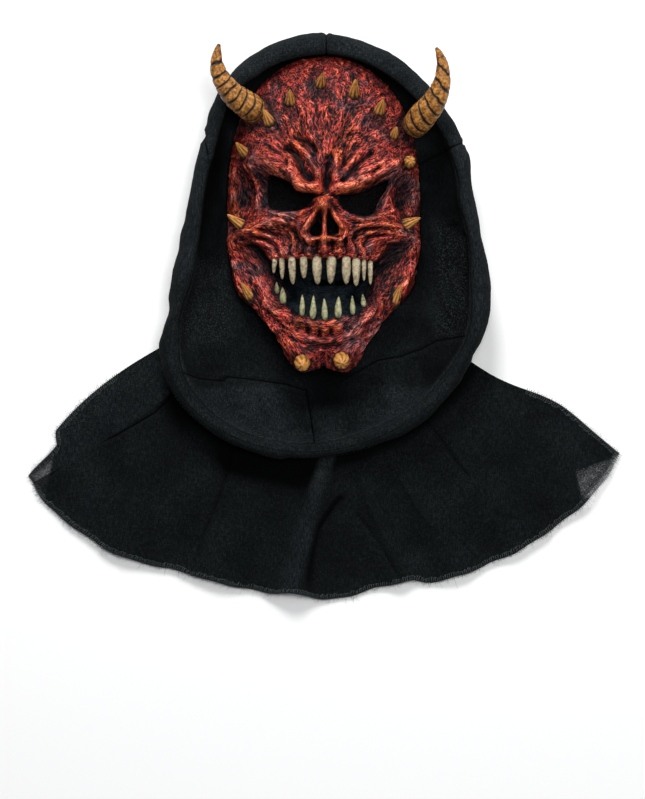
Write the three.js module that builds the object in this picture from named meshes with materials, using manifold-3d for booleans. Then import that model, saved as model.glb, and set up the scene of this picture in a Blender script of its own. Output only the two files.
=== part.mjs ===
// Costume demon mask: a cast latex face with glued-on horns, black net behind the eyes,
// and a black cloth hood with an inner facing and a two-layer shoulder cape.
// It lies on its back. Millimetres, +X to the viewer's right, +Y to the crown, +Z out of the face.
import * as THREE from 'three';
import { mergeVertices } from 'three/addons/utils/BufferGeometryUtils.js';
import Module from 'manifold-3d';

const wasm = await Module();
wasm.setup();

// Overall sizes of the real mask
const FACE_TOP_Z = 93;
const LATEX_WALL = 3.2;
const CLOTH_THICKNESS = 2;
const PIECE_GAP = 0.3;
const NET_THICKNESS = 1;
const HORN_RINGS = 11;
const CENTRE_Y = 60;

// How finely each surface is faceted
const FACE_GRID = { columns: 24, rows: 40 };
const LINING_GRID = { columns: 12, rows: 20 };
const HOOD_COLUMNS = 44;
const FACING_ROWS = 3;
const CAPE_COLUMNS = 26;
const CAPE_ROWS = 6;
const HORN_SIDES = 8;
const SPIKE_SIDES = 6;
const TOOTH_SIDES = 5;

const radians = (degrees) => degrees * Math.PI / 180;
const clamp = (value, low, high) => Math.min(high, Math.max(low, value));
const mix = (a, b, share) => a + (b - a) * share;
const smooth = (edge0, edge1, value) => {
  const share = clamp((value - edge0) / (edge1 - edge0), 0, 1);
  return share * share * (3 - 2 * share);
};

// A smooth curve through [key, value] pairs; it repeats every `period` when one is given
function curveThrough(pairs, period = 0) {
  const wrapped = period ? [
    ...pairs.slice(-2).map(([key, value]) => [key - period, value]),
    ...pairs,
    ...pairs.slice(0, 2).map(([key, value]) => [key + period, value]),
  ] : pairs;
  const slope = (index) => {
    const before = wrapped[Math.max(index - 1, 0)];
    const after = wrapped[Math.min(index + 1, wrapped.length - 1)];
    return (after[1] - before[1]) / (after[0] - before[0]);
  };
  return (key) => {
    let place = period ? ((key % period) + period) % period : key;
    place = clamp(place, wrapped[0][0], wrapped[wrapped.length - 1][0]);
    let index = 0;
    while (index < wrapped.length - 2 && place > wrapped[index + 1][0]) index += 1;
    const [key0, value0] = wrapped[index];
    const [key1, value1] = wrapped[index + 1];
    const span = key1 - key0;
    const t = (place - key0) / span;
    const cube = t * t * t;
    const square = t * t;
    return (2 * cube - 3 * square + 1) * value0 + (cube - 2 * square + t) * span * slope(index)
      + (3 * square - 2 * cube) * value1 + (cube - square) * span * slope(index + 1);
  };
}

// Outline of the face: angle from the horizontal (both sides alike) and radius from the centre
const faceRadiusByAngle = curveThrough([
  [-90, 104], [-79.6, 110.8], [-72.8, 104.7], [-66, 94], [-57, 85.4], [-43, 80.7], [-32, 84.9],
  [-22, 86.5], [-10, 85.3], [4, 87.2], [17, 90.3], [25, 96.2], [35, 105.2], [47, 121.8],
  [55.5, 137.2], [64.5, 153], [73.6, 165.6], [82, 173.4], [90, 176],
]);
// Height of the widest edge of the face above the table, and of its open rear edge
const faceEdgeHeight = curveThrough([[-90, 60], [-75, 56], [-60, 45], [-45, 34], [-20, 26], [90, 24]]);
const faceRearHeight = curveThrough([[-90, 28], [-75, 26], [-55, 14], [-30, 4], [40, 4], [90, 8]]);
// How full the dome is in each direction: below 1 is fuller than an ellipse
const faceFullness = curveThrough([[-90, 0.85], [-60, 0.98], [-30, 1.1], [10, 1.12], [45, 0.95], [90, 0.8]]);
const REAR_INSET = 0.035;

// Folded angle in degrees: -90 is the chin, 0 either side, 90 the crown
const foldedAngle = (x, y) => Math.atan2(y, Math.abs(x)) * 180 / Math.PI;

// Share of the outline radius reached for a share of the grid: even over the front, closer
// together round the side, and past 1 the wall turns back towards the open rear edge
const SIDE_START = 0.74;
const SIDE_SHARE = 0.87;
const EDGE_REACH = 0.94;
function gridToOutline(reach) {
  if (reach <= SIDE_START) return reach * SIDE_SHARE / SIDE_START;
  const turn = Math.PI / 2 * (reach - SIDE_START) / (EDGE_REACH - SIDE_START);
  return SIDE_SHARE + (1 - SIDE_SHARE) * Math.sin(turn);
}

const domeRise = (share, fullness) => Math.cos(Math.asin(clamp(share, 0, 1) ** (1 / fullness))) ** fullness;

// Point of the undisturbed dome for a place on the unit disc
function domePoint(discX, discY) {
  const reach = Math.max(Math.hypot(discX, discY), 1e-9);
  const angle = foldedAngle(discX, discY);
  const edge = faceEdgeHeight(angle);
  let share;
  let height;
  if (reach <= EDGE_REACH) {
    share = gridToOutline(reach);
    height = edge + (FACE_TOP_Z - edge) * domeRise(share, faceFullness(angle));
  } else {
    const behind = (reach - EDGE_REACH) / (1 - EDGE_REACH);
    share = 1 - REAR_INSET * behind * behind;
    height = mix(edge, faceRearHeight(angle), behind);
  }
  const radius = faceRadiusByAngle(angle) * share;
  return new THREE.Vector3(discX / reach * radius, CENTRE_Y + discY / reach * radius, height);
}

// Height of the undisturbed dome over a place on the plan
function domeHeight(x, y) {
  const angle = foldedAngle(x, y - CENTRE_Y);
  const edge = faceEdgeHeight(angle);
  const share = Math.hypot(x, y - CENTRE_Y) / faceRadiusByAngle(angle);
  return edge + (FACE_TOP_Z - edge) * domeRise(share, faceFullness(angle));
}

// Radius of the side wall of the face at a height below its widest edge
function faceWallRadius(angle, height) {
  const edge = faceEdgeHeight(angle);
  const behind = clamp((edge - height) / (edge - faceRearHeight(angle)), 0, 1);
  return faceRadiusByAngle(angle) * (1 - REAR_INSET * behind * behind);
}

// Sculpted forms: each runs along a short path of plan points and swells (or sinks) by `lift`.
// Paths with `both` are repeated on the other side of the face.
const FORMS = [
  { name: 'brow roll', both: true, width: 10, lift: 9,
    path: [[-54, 133], [-33, 122], [-21, 113], [-8, 109]] },
  { name: 'inner brow lobe', both: true, width: 6, lift: 4, path: [[-24, 114], [-11, 108]] },
  { name: 'brow mass', both: true, width: 17, lift: 5, path: [[-48, 142], [-18, 126]] },
  { name: 'frown crease', width: 4.5, lift: -6, path: [[3, 140], [2, 108]] },
  { name: 'outer frown furrow', both: true, width: 5, lift: -5,
    path: [[-36, 153], [-21, 140], [-16, 128], [-6, 118]] },
  { name: 'inner frown furrow', both: true, width: 4.5, lift: -4,
    path: [[-22, 160], [-11, 148], [-5, 134]] },
  { name: 'nose bridge', width: 7, lift: 7, path: [[0, 106], [0, 94]] },
  { name: 'nose rim', both: true, width: 4.5, lift: 8,
    path: [[-1, 97], [-10, 87], [-17, 74], [-12, 67], [0, 68]] },
  { name: 'nose hollow', both: true, width: 6, lift: -9, path: [[-4, 87], [-7, 76]] },
  { name: 'septum', width: 2.6, lift: 8, path: [[0, 94], [0, 58]] },
  { name: 'cheekbone', both: true, width: 9, lift: 8, path: [[-77, 69], [-64, 77], [-42, 85], [-21, 89]] },
  { name: 'lower cheek', both: true, width: 7, lift: 4, path: [[-62, 68], [-42, 66], [-30, 58]] },
  { name: 'cheek hollow', both: true, width: 8, lift: -10,
    path: [[-65, 60], [-59, 46], [-50, 30], [-38, 16]] },
  { name: 'mouth hollow', width: 15, lift: -11, path: [[-46, 36], [-24, 26], [0, 22], [24, 26], [46, 36]] },
  { name: 'upper gum', width: 7, lift: 6, path: [[-44, 51], [-20, 57], [0, 58], [20, 57], [44, 51]] },
  { name: 'lower gum', width: 8, lift: 5, path: [[-46, 12], [-25, -3], [0, -8], [25, -3], [46, 12]] },
  { name: 'jaw ridge', both: true, width: 9, lift: 6, path: [[-77, 56], [-71, 32], [-52, 3], [-28, -22]] },
  { name: 'chin boss', both: true, width: 10, lift: 6, path: [[-17, -36], [-17, -40]] },
  { name: 'temple rim', both: true, width: 6, lift: 4, path: [[-59, 130], [-56, 112], [-60, 94]] },
  { name: 'temple hollow', both: true, width: 11, lift: -8, path: [[-70, 118], [-71, 102]] },
  { name: 'eye socket', both: true, width: 13, lift: -10, path: [[-46, 108], [-31, 102], [-20, 96]] },
  { name: 'left horn boss', width: 15, lift: 6, path: [[-60.7, 182], [-62, 183]] },
  { name: 'right horn boss', width: 15, lift: 6, path: [[79.9, 169], [81, 170]] },
];

function distanceToPath(x, y, path) {
  let nearest = Infinity;
  for (let index = 0; index < path.length - 1; index += 1) {
    const [ax, ay] = path[index];
    const [bx, by] = path[index + 1];
    const lengthSquared = (bx - ax) ** 2 + (by - ay) ** 2;
    const along = clamp(((x - ax) * (bx - ax) + (y - ay) * (by - ay)) / lengthSquared, 0, 1);
    nearest = Math.min(nearest, Math.hypot(x - mix(ax, bx, along), y - mix(ay, by, along)));
  }
  return nearest;
}

// Total swelling of the sculpted forms at a place on the plan
function sculpted(x, y) {
  let lift = 0;
  for (const form of FORMS) {
    let distance = distanceToPath(x, y, form.path);
    if (form.both) distance = Math.min(distance, distanceToPath(-x, y, form.path));
    lift += form.lift * Math.exp(-((distance / form.width) ** 2));
  }
  return lift;
}

// Lowest swelling within a small circle, so that the hollow inside never breaks through
const LINING_PROBE = 9;
const LINING_PROBES = 8;
function sculptedFloor(x, y) {
  let lowest = sculpted(x, y);
  for (let direction = 0; direction < LINING_PROBES; direction += 1) {
    const angle = 2 * Math.PI * direction / LINING_PROBES;
    for (const probe of [LINING_PROBE / 2, LINING_PROBE]) {
      lowest = Math.min(lowest, sculpted(x + probe * Math.cos(angle), y + probe * Math.sin(angle)));
    }
  }
  return lowest;
}

// Geometry helpers

// Joins equal vertices and drops the faces that collapse, then turns the solid the right way out
function finished(positions, faces) {
  const loose = new THREE.BufferGeometry();
  loose.setAttribute('position', new THREE.Float32BufferAttribute(positions, 3));
  loose.setIndex(faces);
  const joined = mergeVertices(loose, 1e-3);
  const index = joined.index.array;
  const place = joined.attributes.position;
  const kept = [];
  let volume = 0;
  const a = new THREE.Vector3();
  const b = new THREE.Vector3();
  const c = new THREE.Vector3();
  for (let corner = 0; corner < index.length; corner += 3) {
    const [i, j, k] = [index[corner], index[corner + 1], index[corner + 2]];
    if (i === j || j === k || k === i) continue;
    kept.push(i, j, k);
    a.fromBufferAttribute(place, i);
    b.fromBufferAttribute(place, j);
    c.fromBufferAttribute(place, k);
    volume += a.dot(b.cross(c));
  }
  if (volume < 0) {
    for (let corner = 0; corner < kept.length; corner += 3) {
      [kept[corner + 1], kept[corner + 2]] = [kept[corner + 2], kept[corner + 1]];
    }
  }
  joined.setIndex(kept);
  return joined;
}

// Adds a four-cornered face as two triangles, split along its shorter diagonal
function pushQuad(faces, positions, a, b, c, d) {
  const point = (index) => new THREE.Vector3().fromArray(positions, index * 3);
  const firstDiagonal = point(a).distanceTo(point(c));
  const secondDiagonal = point(b).distanceTo(point(d));
  if (firstDiagonal <= secondDiagonal) faces.push(a, b, c, a, c, d);
  else faces.push(a, b, d, b, c, d);
}

// Closed solid between two skins given over a grid; a wrapped grid closes on itself sideways
function solidBetween(columns, rows, topSkin, bottomSkin, wrapped = false) {
  const across = wrapped ? columns : columns + 1;
  const positions = [];
  for (const skin of [topSkin, bottomSkin]) {
    for (let row = 0; row <= rows; row += 1) {
      for (let column = 0; column < across; column += 1) {
        positions.push(...skin(column / columns, row / rows).toArray());
      }
    }
  }
  const skinSize = across * (rows + 1);
  const at = (skin, column, row) => skin * skinSize + row * across + (column % across);
  const faces = [];
  const quad = (a, b, c, d) => pushQuad(faces, positions, a, b, c, d);
  for (let column = 0; column < columns; column += 1) {
    for (let row = 0; row < rows; row += 1) {
      quad(at(0, column, row), at(0, column + 1, row), at(0, column + 1, row + 1), at(0, column, row + 1));
      quad(at(1, column, row), at(1, column, row + 1), at(1, column + 1, row + 1), at(1, column + 1, row));
    }
    quad(at(1, column, 0), at(1, column + 1, 0), at(0, column + 1, 0), at(0, column, 0));
    quad(at(0, column, rows), at(0, column + 1, rows), at(1, column + 1, rows), at(1, column, rows));
  }
  if (!wrapped) {
    for (let row = 0; row < rows; row += 1) {
      quad(at(0, 0, row), at(0, 0, row + 1), at(1, 0, row + 1), at(1, 0, row));
      quad(at(1, columns, row), at(1, columns, row + 1), at(0, columns, row + 1), at(0, columns, row));
    }
  }
  return finished(positions, faces);
}

// Closed solid swept along rings of equal size, with flat ends
function solidFromRings(rings) {
  const sides = rings[0].length;
  const positions = [];
  const faces = [];
  for (const ring of rings) {
    for (const point of ring) positions.push(...point.toArray());
  }
  for (let station = 0; station < rings.length - 1; station += 1) {
    for (let side = 0; side < sides; side += 1) {
      const here = station * sides + side;
      const next = station * sides + (side + 1) % sides;
      faces.push(here, next, next + sides, here, next + sides, here + sides);
    }
  }
  const last = (rings.length - 1) * sides;
  for (let side = 1; side < sides - 1; side += 1) {
    faces.push(0, side + 1, side);
    faces.push(last, last + side, last + side + 1);
  }
  return finished(positions, faces);
}

function toManifold(geometry) {
  return new wasm.Manifold(new wasm.Mesh({
    numProp: 3,
    vertProperties: new Float32Array(geometry.attributes.position.array),
    triVerts: new Uint32Array(geometry.index.array),
  }));
}

function toGeometry(manifold) {
  const mesh = manifold.getMesh();
  return finished(Array.from(mesh.vertProperties), Array.from(mesh.triVerts));
}

// Vertical prism over a plan outline
function prism(outline, low, high) {
  const shape = new THREE.Shape(outline.map(([x, y]) => new THREE.Vector2(x, y)));
  const geometry = new THREE.ExtrudeGeometry(shape, { depth: high - low, bevelEnabled: false });
  geometry.translate(0, 0, low);
  geometry.deleteAttribute('normal');
  geometry.deleteAttribute('uv');
  return mergeVertices(geometry, 1e-3);
}

// Square grid place to unit disc, without a pole; fewer rows lie below the centre than above
const LOWER_ROWS_SHARE = 0.4;
function squareToDisc(u, v) {
  const x = 2 * u - 1;
  const y = v < LOWER_ROWS_SHARE ? v / LOWER_ROWS_SHARE - 1 : (v - LOWER_ROWS_SHARE) / (1 - LOWER_ROWS_SHARE);
  return [x * Math.sqrt(1 - y * y / 2), y * Math.sqrt(1 - x * x / 2)];
}

// Latex face

const SCULPT_FADE_START = 0.76;
const SCULPT_FADE_END = 0.92;

// Face surface at a grid place; `inset` moves it inwards along the dome's normal
function facePoint(u, v, formLift, inset) {
  const [discX, discY] = squareToDisc(u, v);
  const place = domePoint(discX, discY);
  const step = 1e-3;
  const alongX = domePoint(discX + step, discY).sub(domePoint(discX - step, discY));
  const alongY = domePoint(discX, discY + step).sub(domePoint(discX, discY - step));
  const normal = alongX.cross(alongY).normalize();
  const reach = Math.hypot(discX, discY);
  const fade = 1 - smooth(SCULPT_FADE_START, SCULPT_FADE_END, reach);
  const lift = formLift(place.x, place.y) * fade - inset;
  return place.addScaledVector(normal, lift);
}

// Closed dome over the square grid, shut below by a fan to one point
function closedDome({ columns, rows }, formLift, inset, skirt, shutHeight) {
  const positions = [];
  const faces = [];
  const across = columns + 1;
  for (let row = 0; row <= rows; row += 1) {
    for (let column = 0; column <= columns; column += 1) {
      positions.push(...facePoint(column / columns, row / rows, formLift, inset).toArray());
    }
  }
  const border = [];
  for (let step = 0; step < columns; step += 1) border.push(step);
  for (let step = 0; step < rows; step += 1) border.push(step * across + columns);
  for (let step = columns; step > 0; step -= 1) border.push(rows * across + step);
  for (let step = rows; step > 0; step -= 1) border.push(step * across);
  for (let row = 0; row < rows; row += 1) {
    for (let column = 0; column < columns; column += 1) {
      const a = row * across + column;
      const b = a + 1;
      const c = b + across;
      const d = a + across;
      pushQuad(faces, positions, a, b, c, d);
    }
  }
  const skirtStart = positions.length / 3;
  for (const corner of border) {
    const [x, y, z] = positions.slice(corner * 3, corner * 3 + 3);
    positions.push(x, y, z - skirt);
  }
  const shut = positions.length / 3;
  positions.push(0, CENTRE_Y, shutHeight);
  for (let step = 0; step < border.length; step += 1) {
    const next = (step + 1) % border.length;
    if (skirt > 0) {
      faces.push(border[step], skirtStart + step, skirtStart + next);
      faces.push(border[step], skirtStart + next, border[next]);
    }
    const ring = skirt > 0 ? [skirtStart + step, skirtStart + next] : [border[step], border[next]];
    faces.push(ring[0], shut, ring[1]);
  }
  return finished(positions, faces);
}

// Heights at which the two domes are shut below, and how far the lining's cut runs on downwards
const LINING_SKIRT = 60;
const LINING_SHUT_HEIGHT = -120;
const OUTER_SHUT_HEIGHT = 12;
const outerDome = closedDome(FACE_GRID, sculpted, 0, 0, OUTER_SHUT_HEIGHT);
const liningDome = closedDome(LINING_GRID, sculptedFloor, LATEX_WALL, LINING_SKIRT, LINING_SHUT_HEIGHT);

// Openings cut through the face, as plan outlines
const LEFT_EYE = [
  [-49, 125], [-40, 122], [-29, 117], [-24, 108], [-5, 106.5], [-14, 98], [-22, 93], [-36, 93],
  [-49, 95], [-50, 110],
];
const RIGHT_EYE = [
  [10, 106.5], [26, 106.5], [36, 110], [49, 117], [58, 121], [55, 112], [48, 102], [44, 90],
  [34, 87], [24, 90], [15, 97],
];
const LEFT_NOSTRIL = [[-2.2, 88], [-13.5, 75], [-10, 70], [-2.2, 71]];
const RIGHT_NOSTRIL = [[3.5, 89], [13, 79], [13, 72], [3.5, 75]];
const MOUTH_SLOT = [[-14, 31], [-4, 27.5], [12, 27], [30, 29.5], [36, 32], [22, 32.5], [6, 30.5], [-6, 33]];
const CUT_LOW = 20;
const CUT_HIGH = 130;

// Teeth: plan place of the root, width and length; the upper ones point down the face, the lower ones up
const TOOTH_EMBED = 5;
const UPPER_TEETH = [
  [-43.3, 51, 4.6, 13], [-36.9, 51.5, 5, 19], [-28.5, 52, 6.7, 24], [-18, 52, 6.7, 19], [-6.3, 52, 8.7, 24],
  [6.8, 52, 8.7, 23.5], [19.6, 52, 8.3, 24], [28.3, 51, 7.5, 24.5], [35.2, 50, 4.2, 19],
  [40.8, 49, 4.6, 21],
];
const LOWER_TEETH = [
  [-41.6, 20, 4.5, 11], [-35.8, 11, 6.4, 15], [-19.2, 0, 5.2, 19], [-9.9, -3, 6, 21],
  [0.9, -4, 6, 19.5], [12.3, -2, 7, 19], [25.4, 1, 5.2, 17], [35.2, 8, 5, 12],
];
// How far a tooth leans back into the mouth from root to tip
const TOOTH_LEAN_BACK = 3;

// A pointed tooth: narrow root, full belly at a third of its length, blunt tip
const TOOTH_ROOT_SHARE = 0.55;
const TOOTH_STATIONS = [[0.32, 1], [1, 0.2]];
function toothSolid([rootX, rootY, width, length], direction) {
  const rootZ = domeHeight(rootX, rootY) + sculpted(rootX, rootY);
  const tipY = rootY + direction * length;
  const hollowZ = domeHeight(rootX, tipY) + sculpted(rootX, tipY);
  const tipZ = Math.max(rootZ - TOOTH_LEAN_BACK, hollowZ + width / 2);
  const rings = [];
  for (const [along, share] of [[-TOOTH_EMBED / length, TOOTH_ROOT_SHARE], ...TOOTH_STATIONS]) {
    const ring = [];
    const y = mix(rootY, tipY, along);
    const z = mix(rootZ, tipZ, along);
    for (let side = 0; side < TOOTH_SIDES; side += 1) {
      const angle = 2 * Math.PI * side / TOOTH_SIDES;
      const across = width / 2 * share * Math.cos(angle);
      const deep = width / 2 * share * Math.sin(angle);
      ring.push(new THREE.Vector3(rootX + across, y, z + deep));
    }
    rings.push(ring);
  }
  return solidFromRings(rings);
}

// Spikes: plan place of the base, plan place of the tip, rise of the tip over the base, base radius
const SPIKES = [
  [[-3.9, 202.8], [-1.1, 214.3], 13, 5.2], [[25.9, 192.5], [27.9, 209.1], 11, 5.6],
  [[-29.9, 186.3], [-29.9, 199.8], 12, 5.2], [[47.5, 179], [52.5, 191.5], 11, 5.4],
  [[-46.8, 168.6], [-53.1, 182.2], 10, 5.6], [[61.2, 158.2], [64.2, 167.6], 9, 4.4],
  [[75.6, 137.5], [77, 139], 12, 5.4], [[-67.6, 142.5], [-78, 154], 9, 5.2],
  [[-72.8, 81.4], [-85.9, 90.6], 9, 5.6], [[71.5, 81.4], [85.6, 87.6], 9, 5.8],
  [[-65.5, 18], [-73.4, 30.5], 10, 5.2], [[62.6, 13.6], [68.6, 28.2], 13, 5.4],
  [[-19.2, -40], [-19.2, -44], 15, 6.9], [[15.5, -38], [15.5, -42], 15, 7],
];
const SPIKE_EMBED = 2.4;
const SPIKE_STATIONS = [[0.45, 0.76], [1, 0.14]];
function spikeSolid([[baseX, baseY], [tipX, tipY], rise, radius]) {
  const baseZ = domeHeight(baseX, baseY) + sculpted(baseX, baseY);
  const base = new THREE.Vector3(baseX, baseY, baseZ);
  const tip = new THREE.Vector3(tipX, tipY, baseZ + rise);
  return taperedSolid(base, tip, radius, SPIKE_STATIONS, SPIKE_EMBED, SPIKE_SIDES);
}

function taperedSolid(base, tip, radius, stations, embed, sides) {
  const axis = tip.clone().sub(base);
  const length = axis.length();
  axis.normalize();
  const across = new THREE.Vector3(0, 0, 1).cross(axis).normalize();
  if (across.lengthSq() < 0.5) across.set(1, 0, 0);
  const over = axis.clone().cross(across);
  const rings = [];
  for (const [along, share] of [[-embed / length, 1], ...stations]) {
    const ring = [];
    for (let side = 0; side < sides; side += 1) {
      const angle = 2 * Math.PI * side / sides;
      ring.push(base.clone().addScaledVector(axis, along * length)
        .addScaledVector(across, radius * share * Math.cos(angle))
        .addScaledVector(over, radius * share * Math.sin(angle)));
    }
    rings.push(ring);
  }
  return solidFromRings(rings);
}

// Horns: axis points from the base to the tip and the radius at each
const LEFT_HORN = [
  [[-60.7, 182.2, 62], 12.2], [[-67, 187.4, 71], 12.6], [[-80, 196.7, 82], 11], [[-90, 210.3, 89], 8.8],
  [[-94.2, 221.3, 93], 6], [[-93.5, 232.3, 96], 3.4], [[-91.9, 238.8, 97], 1.2],
];
const RIGHT_HORN = [
  [[79.9, 169, 56], 11.6], [[86.2, 176.4, 68], 12.6], [[96.4, 189.6, 81], 10.6], [[103, 205, 89], 7.6],
  [[104.1, 219.1, 93], 5.4], [[102, 229.7, 96], 3.2], [[99.2, 235.5, 97], 1.1],
];
const GROOVE_DEPTH = 0.09;

// Horn swept along its axis with a dark ring groove between every two swellings.
// `grow` widens it all round and `start` moves its base back, for cutting its seat.
function hornSolid(stations, grow, start) {
  const axisCurve = new THREE.CatmullRomCurve3(stations.map(([point]) => new THREE.Vector3(...point)));
  const radiusAt = curveThrough(stations.map(([, radius], index) => [index / (stations.length - 1), radius]));
  const steps = HORN_RINGS * 2;
  const rings = [];
  for (let step = 0; step <= steps; step += 1) {
    const along = step / steps;
    const middle = axisCurve.getPoint(along);
    const tangent = axisCurve.getTangent(along);
    if (step === 0) middle.addScaledVector(tangent, -start);
    const across = new THREE.Vector3(0, 0, 1).cross(tangent).normalize();
    const over = tangent.clone().cross(across);
    const swelling = step % 2 === 1 ? 1 : 1 - GROOVE_DEPTH;
    const radius = radiusAt(along) * swelling + grow;
    const ring = [];
    for (let side = 0; side < HORN_SIDES; side += 1) {
      const angle = 2 * Math.PI * side / HORN_SIDES;
      ring.push(middle.clone().addScaledVector(across, radius * Math.cos(angle))
        .addScaledVector(over, radius * Math.sin(angle)));
    }
    rings.push(ring);
  }
  return solidFromRings(rings);
}

function latexFace() {
  let face = toManifold(outerDome).subtract(toManifold(liningDome));
  for (const outline of [LEFT_EYE, RIGHT_EYE, LEFT_NOSTRIL, RIGHT_NOSTRIL, MOUTH_SLOT]) {
    face = face.subtract(toManifold(prism(outline, CUT_LOW, CUT_HIGH)));
  }
  for (const tooth of UPPER_TEETH) face = face.add(toManifold(toothSolid(tooth, -1)));
  for (const tooth of LOWER_TEETH) face = face.add(toManifold(toothSolid(tooth, 1)));
  for (const spike of SPIKES) face = face.add(toManifold(spikeSolid(spike)));
  for (const horn of [LEFT_HORN, RIGHT_HORN]) {
    face = face.subtract(toManifold(hornSolid(horn, PIECE_GAP, PIECE_GAP)));
  }
  return toGeometry(face);
}

// Net glued behind each eye: a thin layer just inside the latex, a little larger than the opening
const NET_OVERLAP = 1.25;
const NET_INSET = LATEX_WALL + 2 * PIECE_GAP;
const netFront = closedDome(LINING_GRID, sculptedFloor, NET_INSET, LINING_SKIRT, LINING_SHUT_HEIGHT);
function eyeNet(outline) {
  const middleX = outline.reduce((sum, [x]) => sum + x, 0) / outline.length;
  const middleY = outline.reduce((sum, [, y]) => sum + y, 0) / outline.length;
  const wider = outline.map(([x, y]) => [mix(middleX, x, NET_OVERLAP), mix(middleY, y, NET_OVERLAP)]);
  const front = toManifold(netFront);
  const net = front.subtract(front.translate([0, 0, -NET_THICKNESS]));
  return toGeometry(net.intersect(toManifold(prism(wider, CUT_LOW, CUT_HIGH))));
}

// Hood: outer silhouette, inner edge of the rim roll and rim height, by angle round the centre
const hoodOuterRadius = curveThrough([
  [0, 144], [15, 142], [25, 147.5], [33, 156], [37, 157.5], [45, 165], [60, 177], [75, 189.5], [90, 195.5],
  [105, 190], [120, 177.5], [128, 165], [133, 155], [140, 142.5], [147, 138], [157, 132], [166, 130],
  [180, 132], [190, 139], [196, 145.5], [201, 151], [206, 163], [210, 171.5], [225, 188], [240, 192],
  [255, 190], [270, 186],
  [285, 181], [300, 176], [315, 169.5], [325, 166], [333, 164], [345, 156],
], 360);
const hoodRimRadius = curveThrough([
  [0, 130], [10, 128.5], [20, 129], [30, 137], [45, 149], [60, 160], [75, 170], [90, 175.5],
  [105, 172.5], [120, 160], [135, 136], [150, 121.5], [165, 113], [180, 114], [195, 124], [205, 142],
  [213, 156], [225, 171], [240, 178], [255, 177], [270, 172], [285, 166], [300, 162], [315, 155],
  [325, 151.5], [333, 146.5], [345, 136],
], 360);
const hoodRimHeight = curveThrough([
  [0, 64], [30, 62], [50, 54], [60, 53], [75, 57], [90, 60], [105, 58], [120, 54], [150, 63], [180, 64],
  [210, 57], [240, 47], [270, 43], [300, 48], [330, 60],
], 360);
const HOOD_FOOT_SHARE = 0.86;
// Hood profile, outwards from the middle of the back: share of the way from the foot to the
// outer silhouette (then back to the rim), and share of the rim height
const HOOD_SIDE_PROFILE = [
  ['foot', 0, 0], ['wall', 0.55, 0.18], ['wall', 0.9, 0.4], ['wall', 1, 0.62], ['roll', 0.94, 0.82],
  ['roll', 0.66, 0.97], ['roll', 0.3, 1], ['roll', 0, 0.95], ['roll', -0.05, 0.86],
];
const HOOD_NECK_PROFILE = [
  ['foot', 0, 0], ['wall', 0.04, 0.2], ['wall', 0.16, 0.42], ['wall', 0.7, 0.6], ['roll', 0.98, 0.76],
  ['roll', 0.8, 0.95], ['roll', 0.38, 1], ['roll', 0, 0.94], ['roll', -0.05, 0.82],
];
const HOOD_ROWS = HOOD_SIDE_PROFILE.length;
// The neck profile holds fully within the first angle from straight down and ends at the second
const NECK_ANGLE = 270;
const NECK_FULL_WITHIN = 28.6;
const NECK_HALF_WIDTH = 52;

const neckShare = (angle) => 1 - smooth(NECK_FULL_WITHIN, NECK_HALF_WIDTH, Math.abs(angle - NECK_ANGLE));

// Place on the hood's profile at one row, as radius and height
function hoodProfile(angle, row) {
  if (row === 0) return [0, 0];
  const outer = hoodOuterRadius(angle);
  const foot = outer * HOOD_FOOT_SHARE;
  const rim = hoodRimRadius(angle);
  const place = ([kind, share, rise]) => {
    const radius = kind === 'roll' ? mix(rim, outer, share) : mix(foot, outer, share);
    return [radius, rise * hoodRimHeight(angle)];
  };
  const side = place(HOOD_SIDE_PROFILE[row - 1]);
  const neck = place(HOOD_NECK_PROFILE[row - 1]);
  const share = neckShare(angle);
  return [mix(side[0], neck[0], share), mix(side[1], neck[1], share)];
}

function polarPoint(angle, radius, height) {
  const turn = radians(angle);
  return new THREE.Vector3(radius * Math.cos(turn), CENTRE_Y + radius * Math.sin(turn), height);
}

// Offsets a profile point square to the profile; positive is towards the inside of the bag
function offsetProfile(profile, angle, row, rows, offset) {
  const [radius, height] = profile(angle, row);
  if (row === 0 && radius === 0) return [0, height + offset];
  const before = profile(angle, Math.max(row - 1, 0));
  const after = profile(angle, Math.min(row + 1, rows));
  const along = [after[0] - before[0], after[1] - before[1]];
  const length = Math.hypot(...along);
  return [radius - offset * along[1] / length, height + offset * along[0] / length];
}

// Opening from the head space into the space between the cape layers
const NECK_PASSAGE = { halfWidth: 74, low: 2.6, high: 19, near: -70, far: -140 };

function hood() {
  const skin = (offset) => (u, v) => {
    const angle = 360 * u;
    const [radius, height] = offsetProfile(hoodProfile, angle, Math.round(v * HOOD_ROWS), HOOD_ROWS, offset);
    return polarPoint(angle, radius, Math.max(height, 0));
  };
  const bag = solidBetween(HOOD_COLUMNS, HOOD_ROWS, skin(CLOTH_THICKNESS), skin(0), true);
  const { halfWidth, low, high, near, far } = NECK_PASSAGE;
  const outline = [[-halfWidth, far], [halfWidth, far], [halfWidth, near], [-halfWidth, near]];
  return toGeometry(toManifold(bag).subtract(toManifold(prism(outline, low, high))));
}

// Facing: the cloth funnel between the rim of the hood and the edge of the latex face
const facingEdgeHeight = curveThrough([[-90, 40], [-70, 36], [-45, 27], [-20, 21], [90, 20]]);
// Clearance between the facing's straight facets and the curved edge of the face
const EDGE_EASE = 1.3;
const END_EASE = 2.4;
const END_EASE_FROM = 45;
const END_EASE_TO = 75;
const FACING_SAG = 5;
const UNDERCUT_POWER = 2.2;
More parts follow.
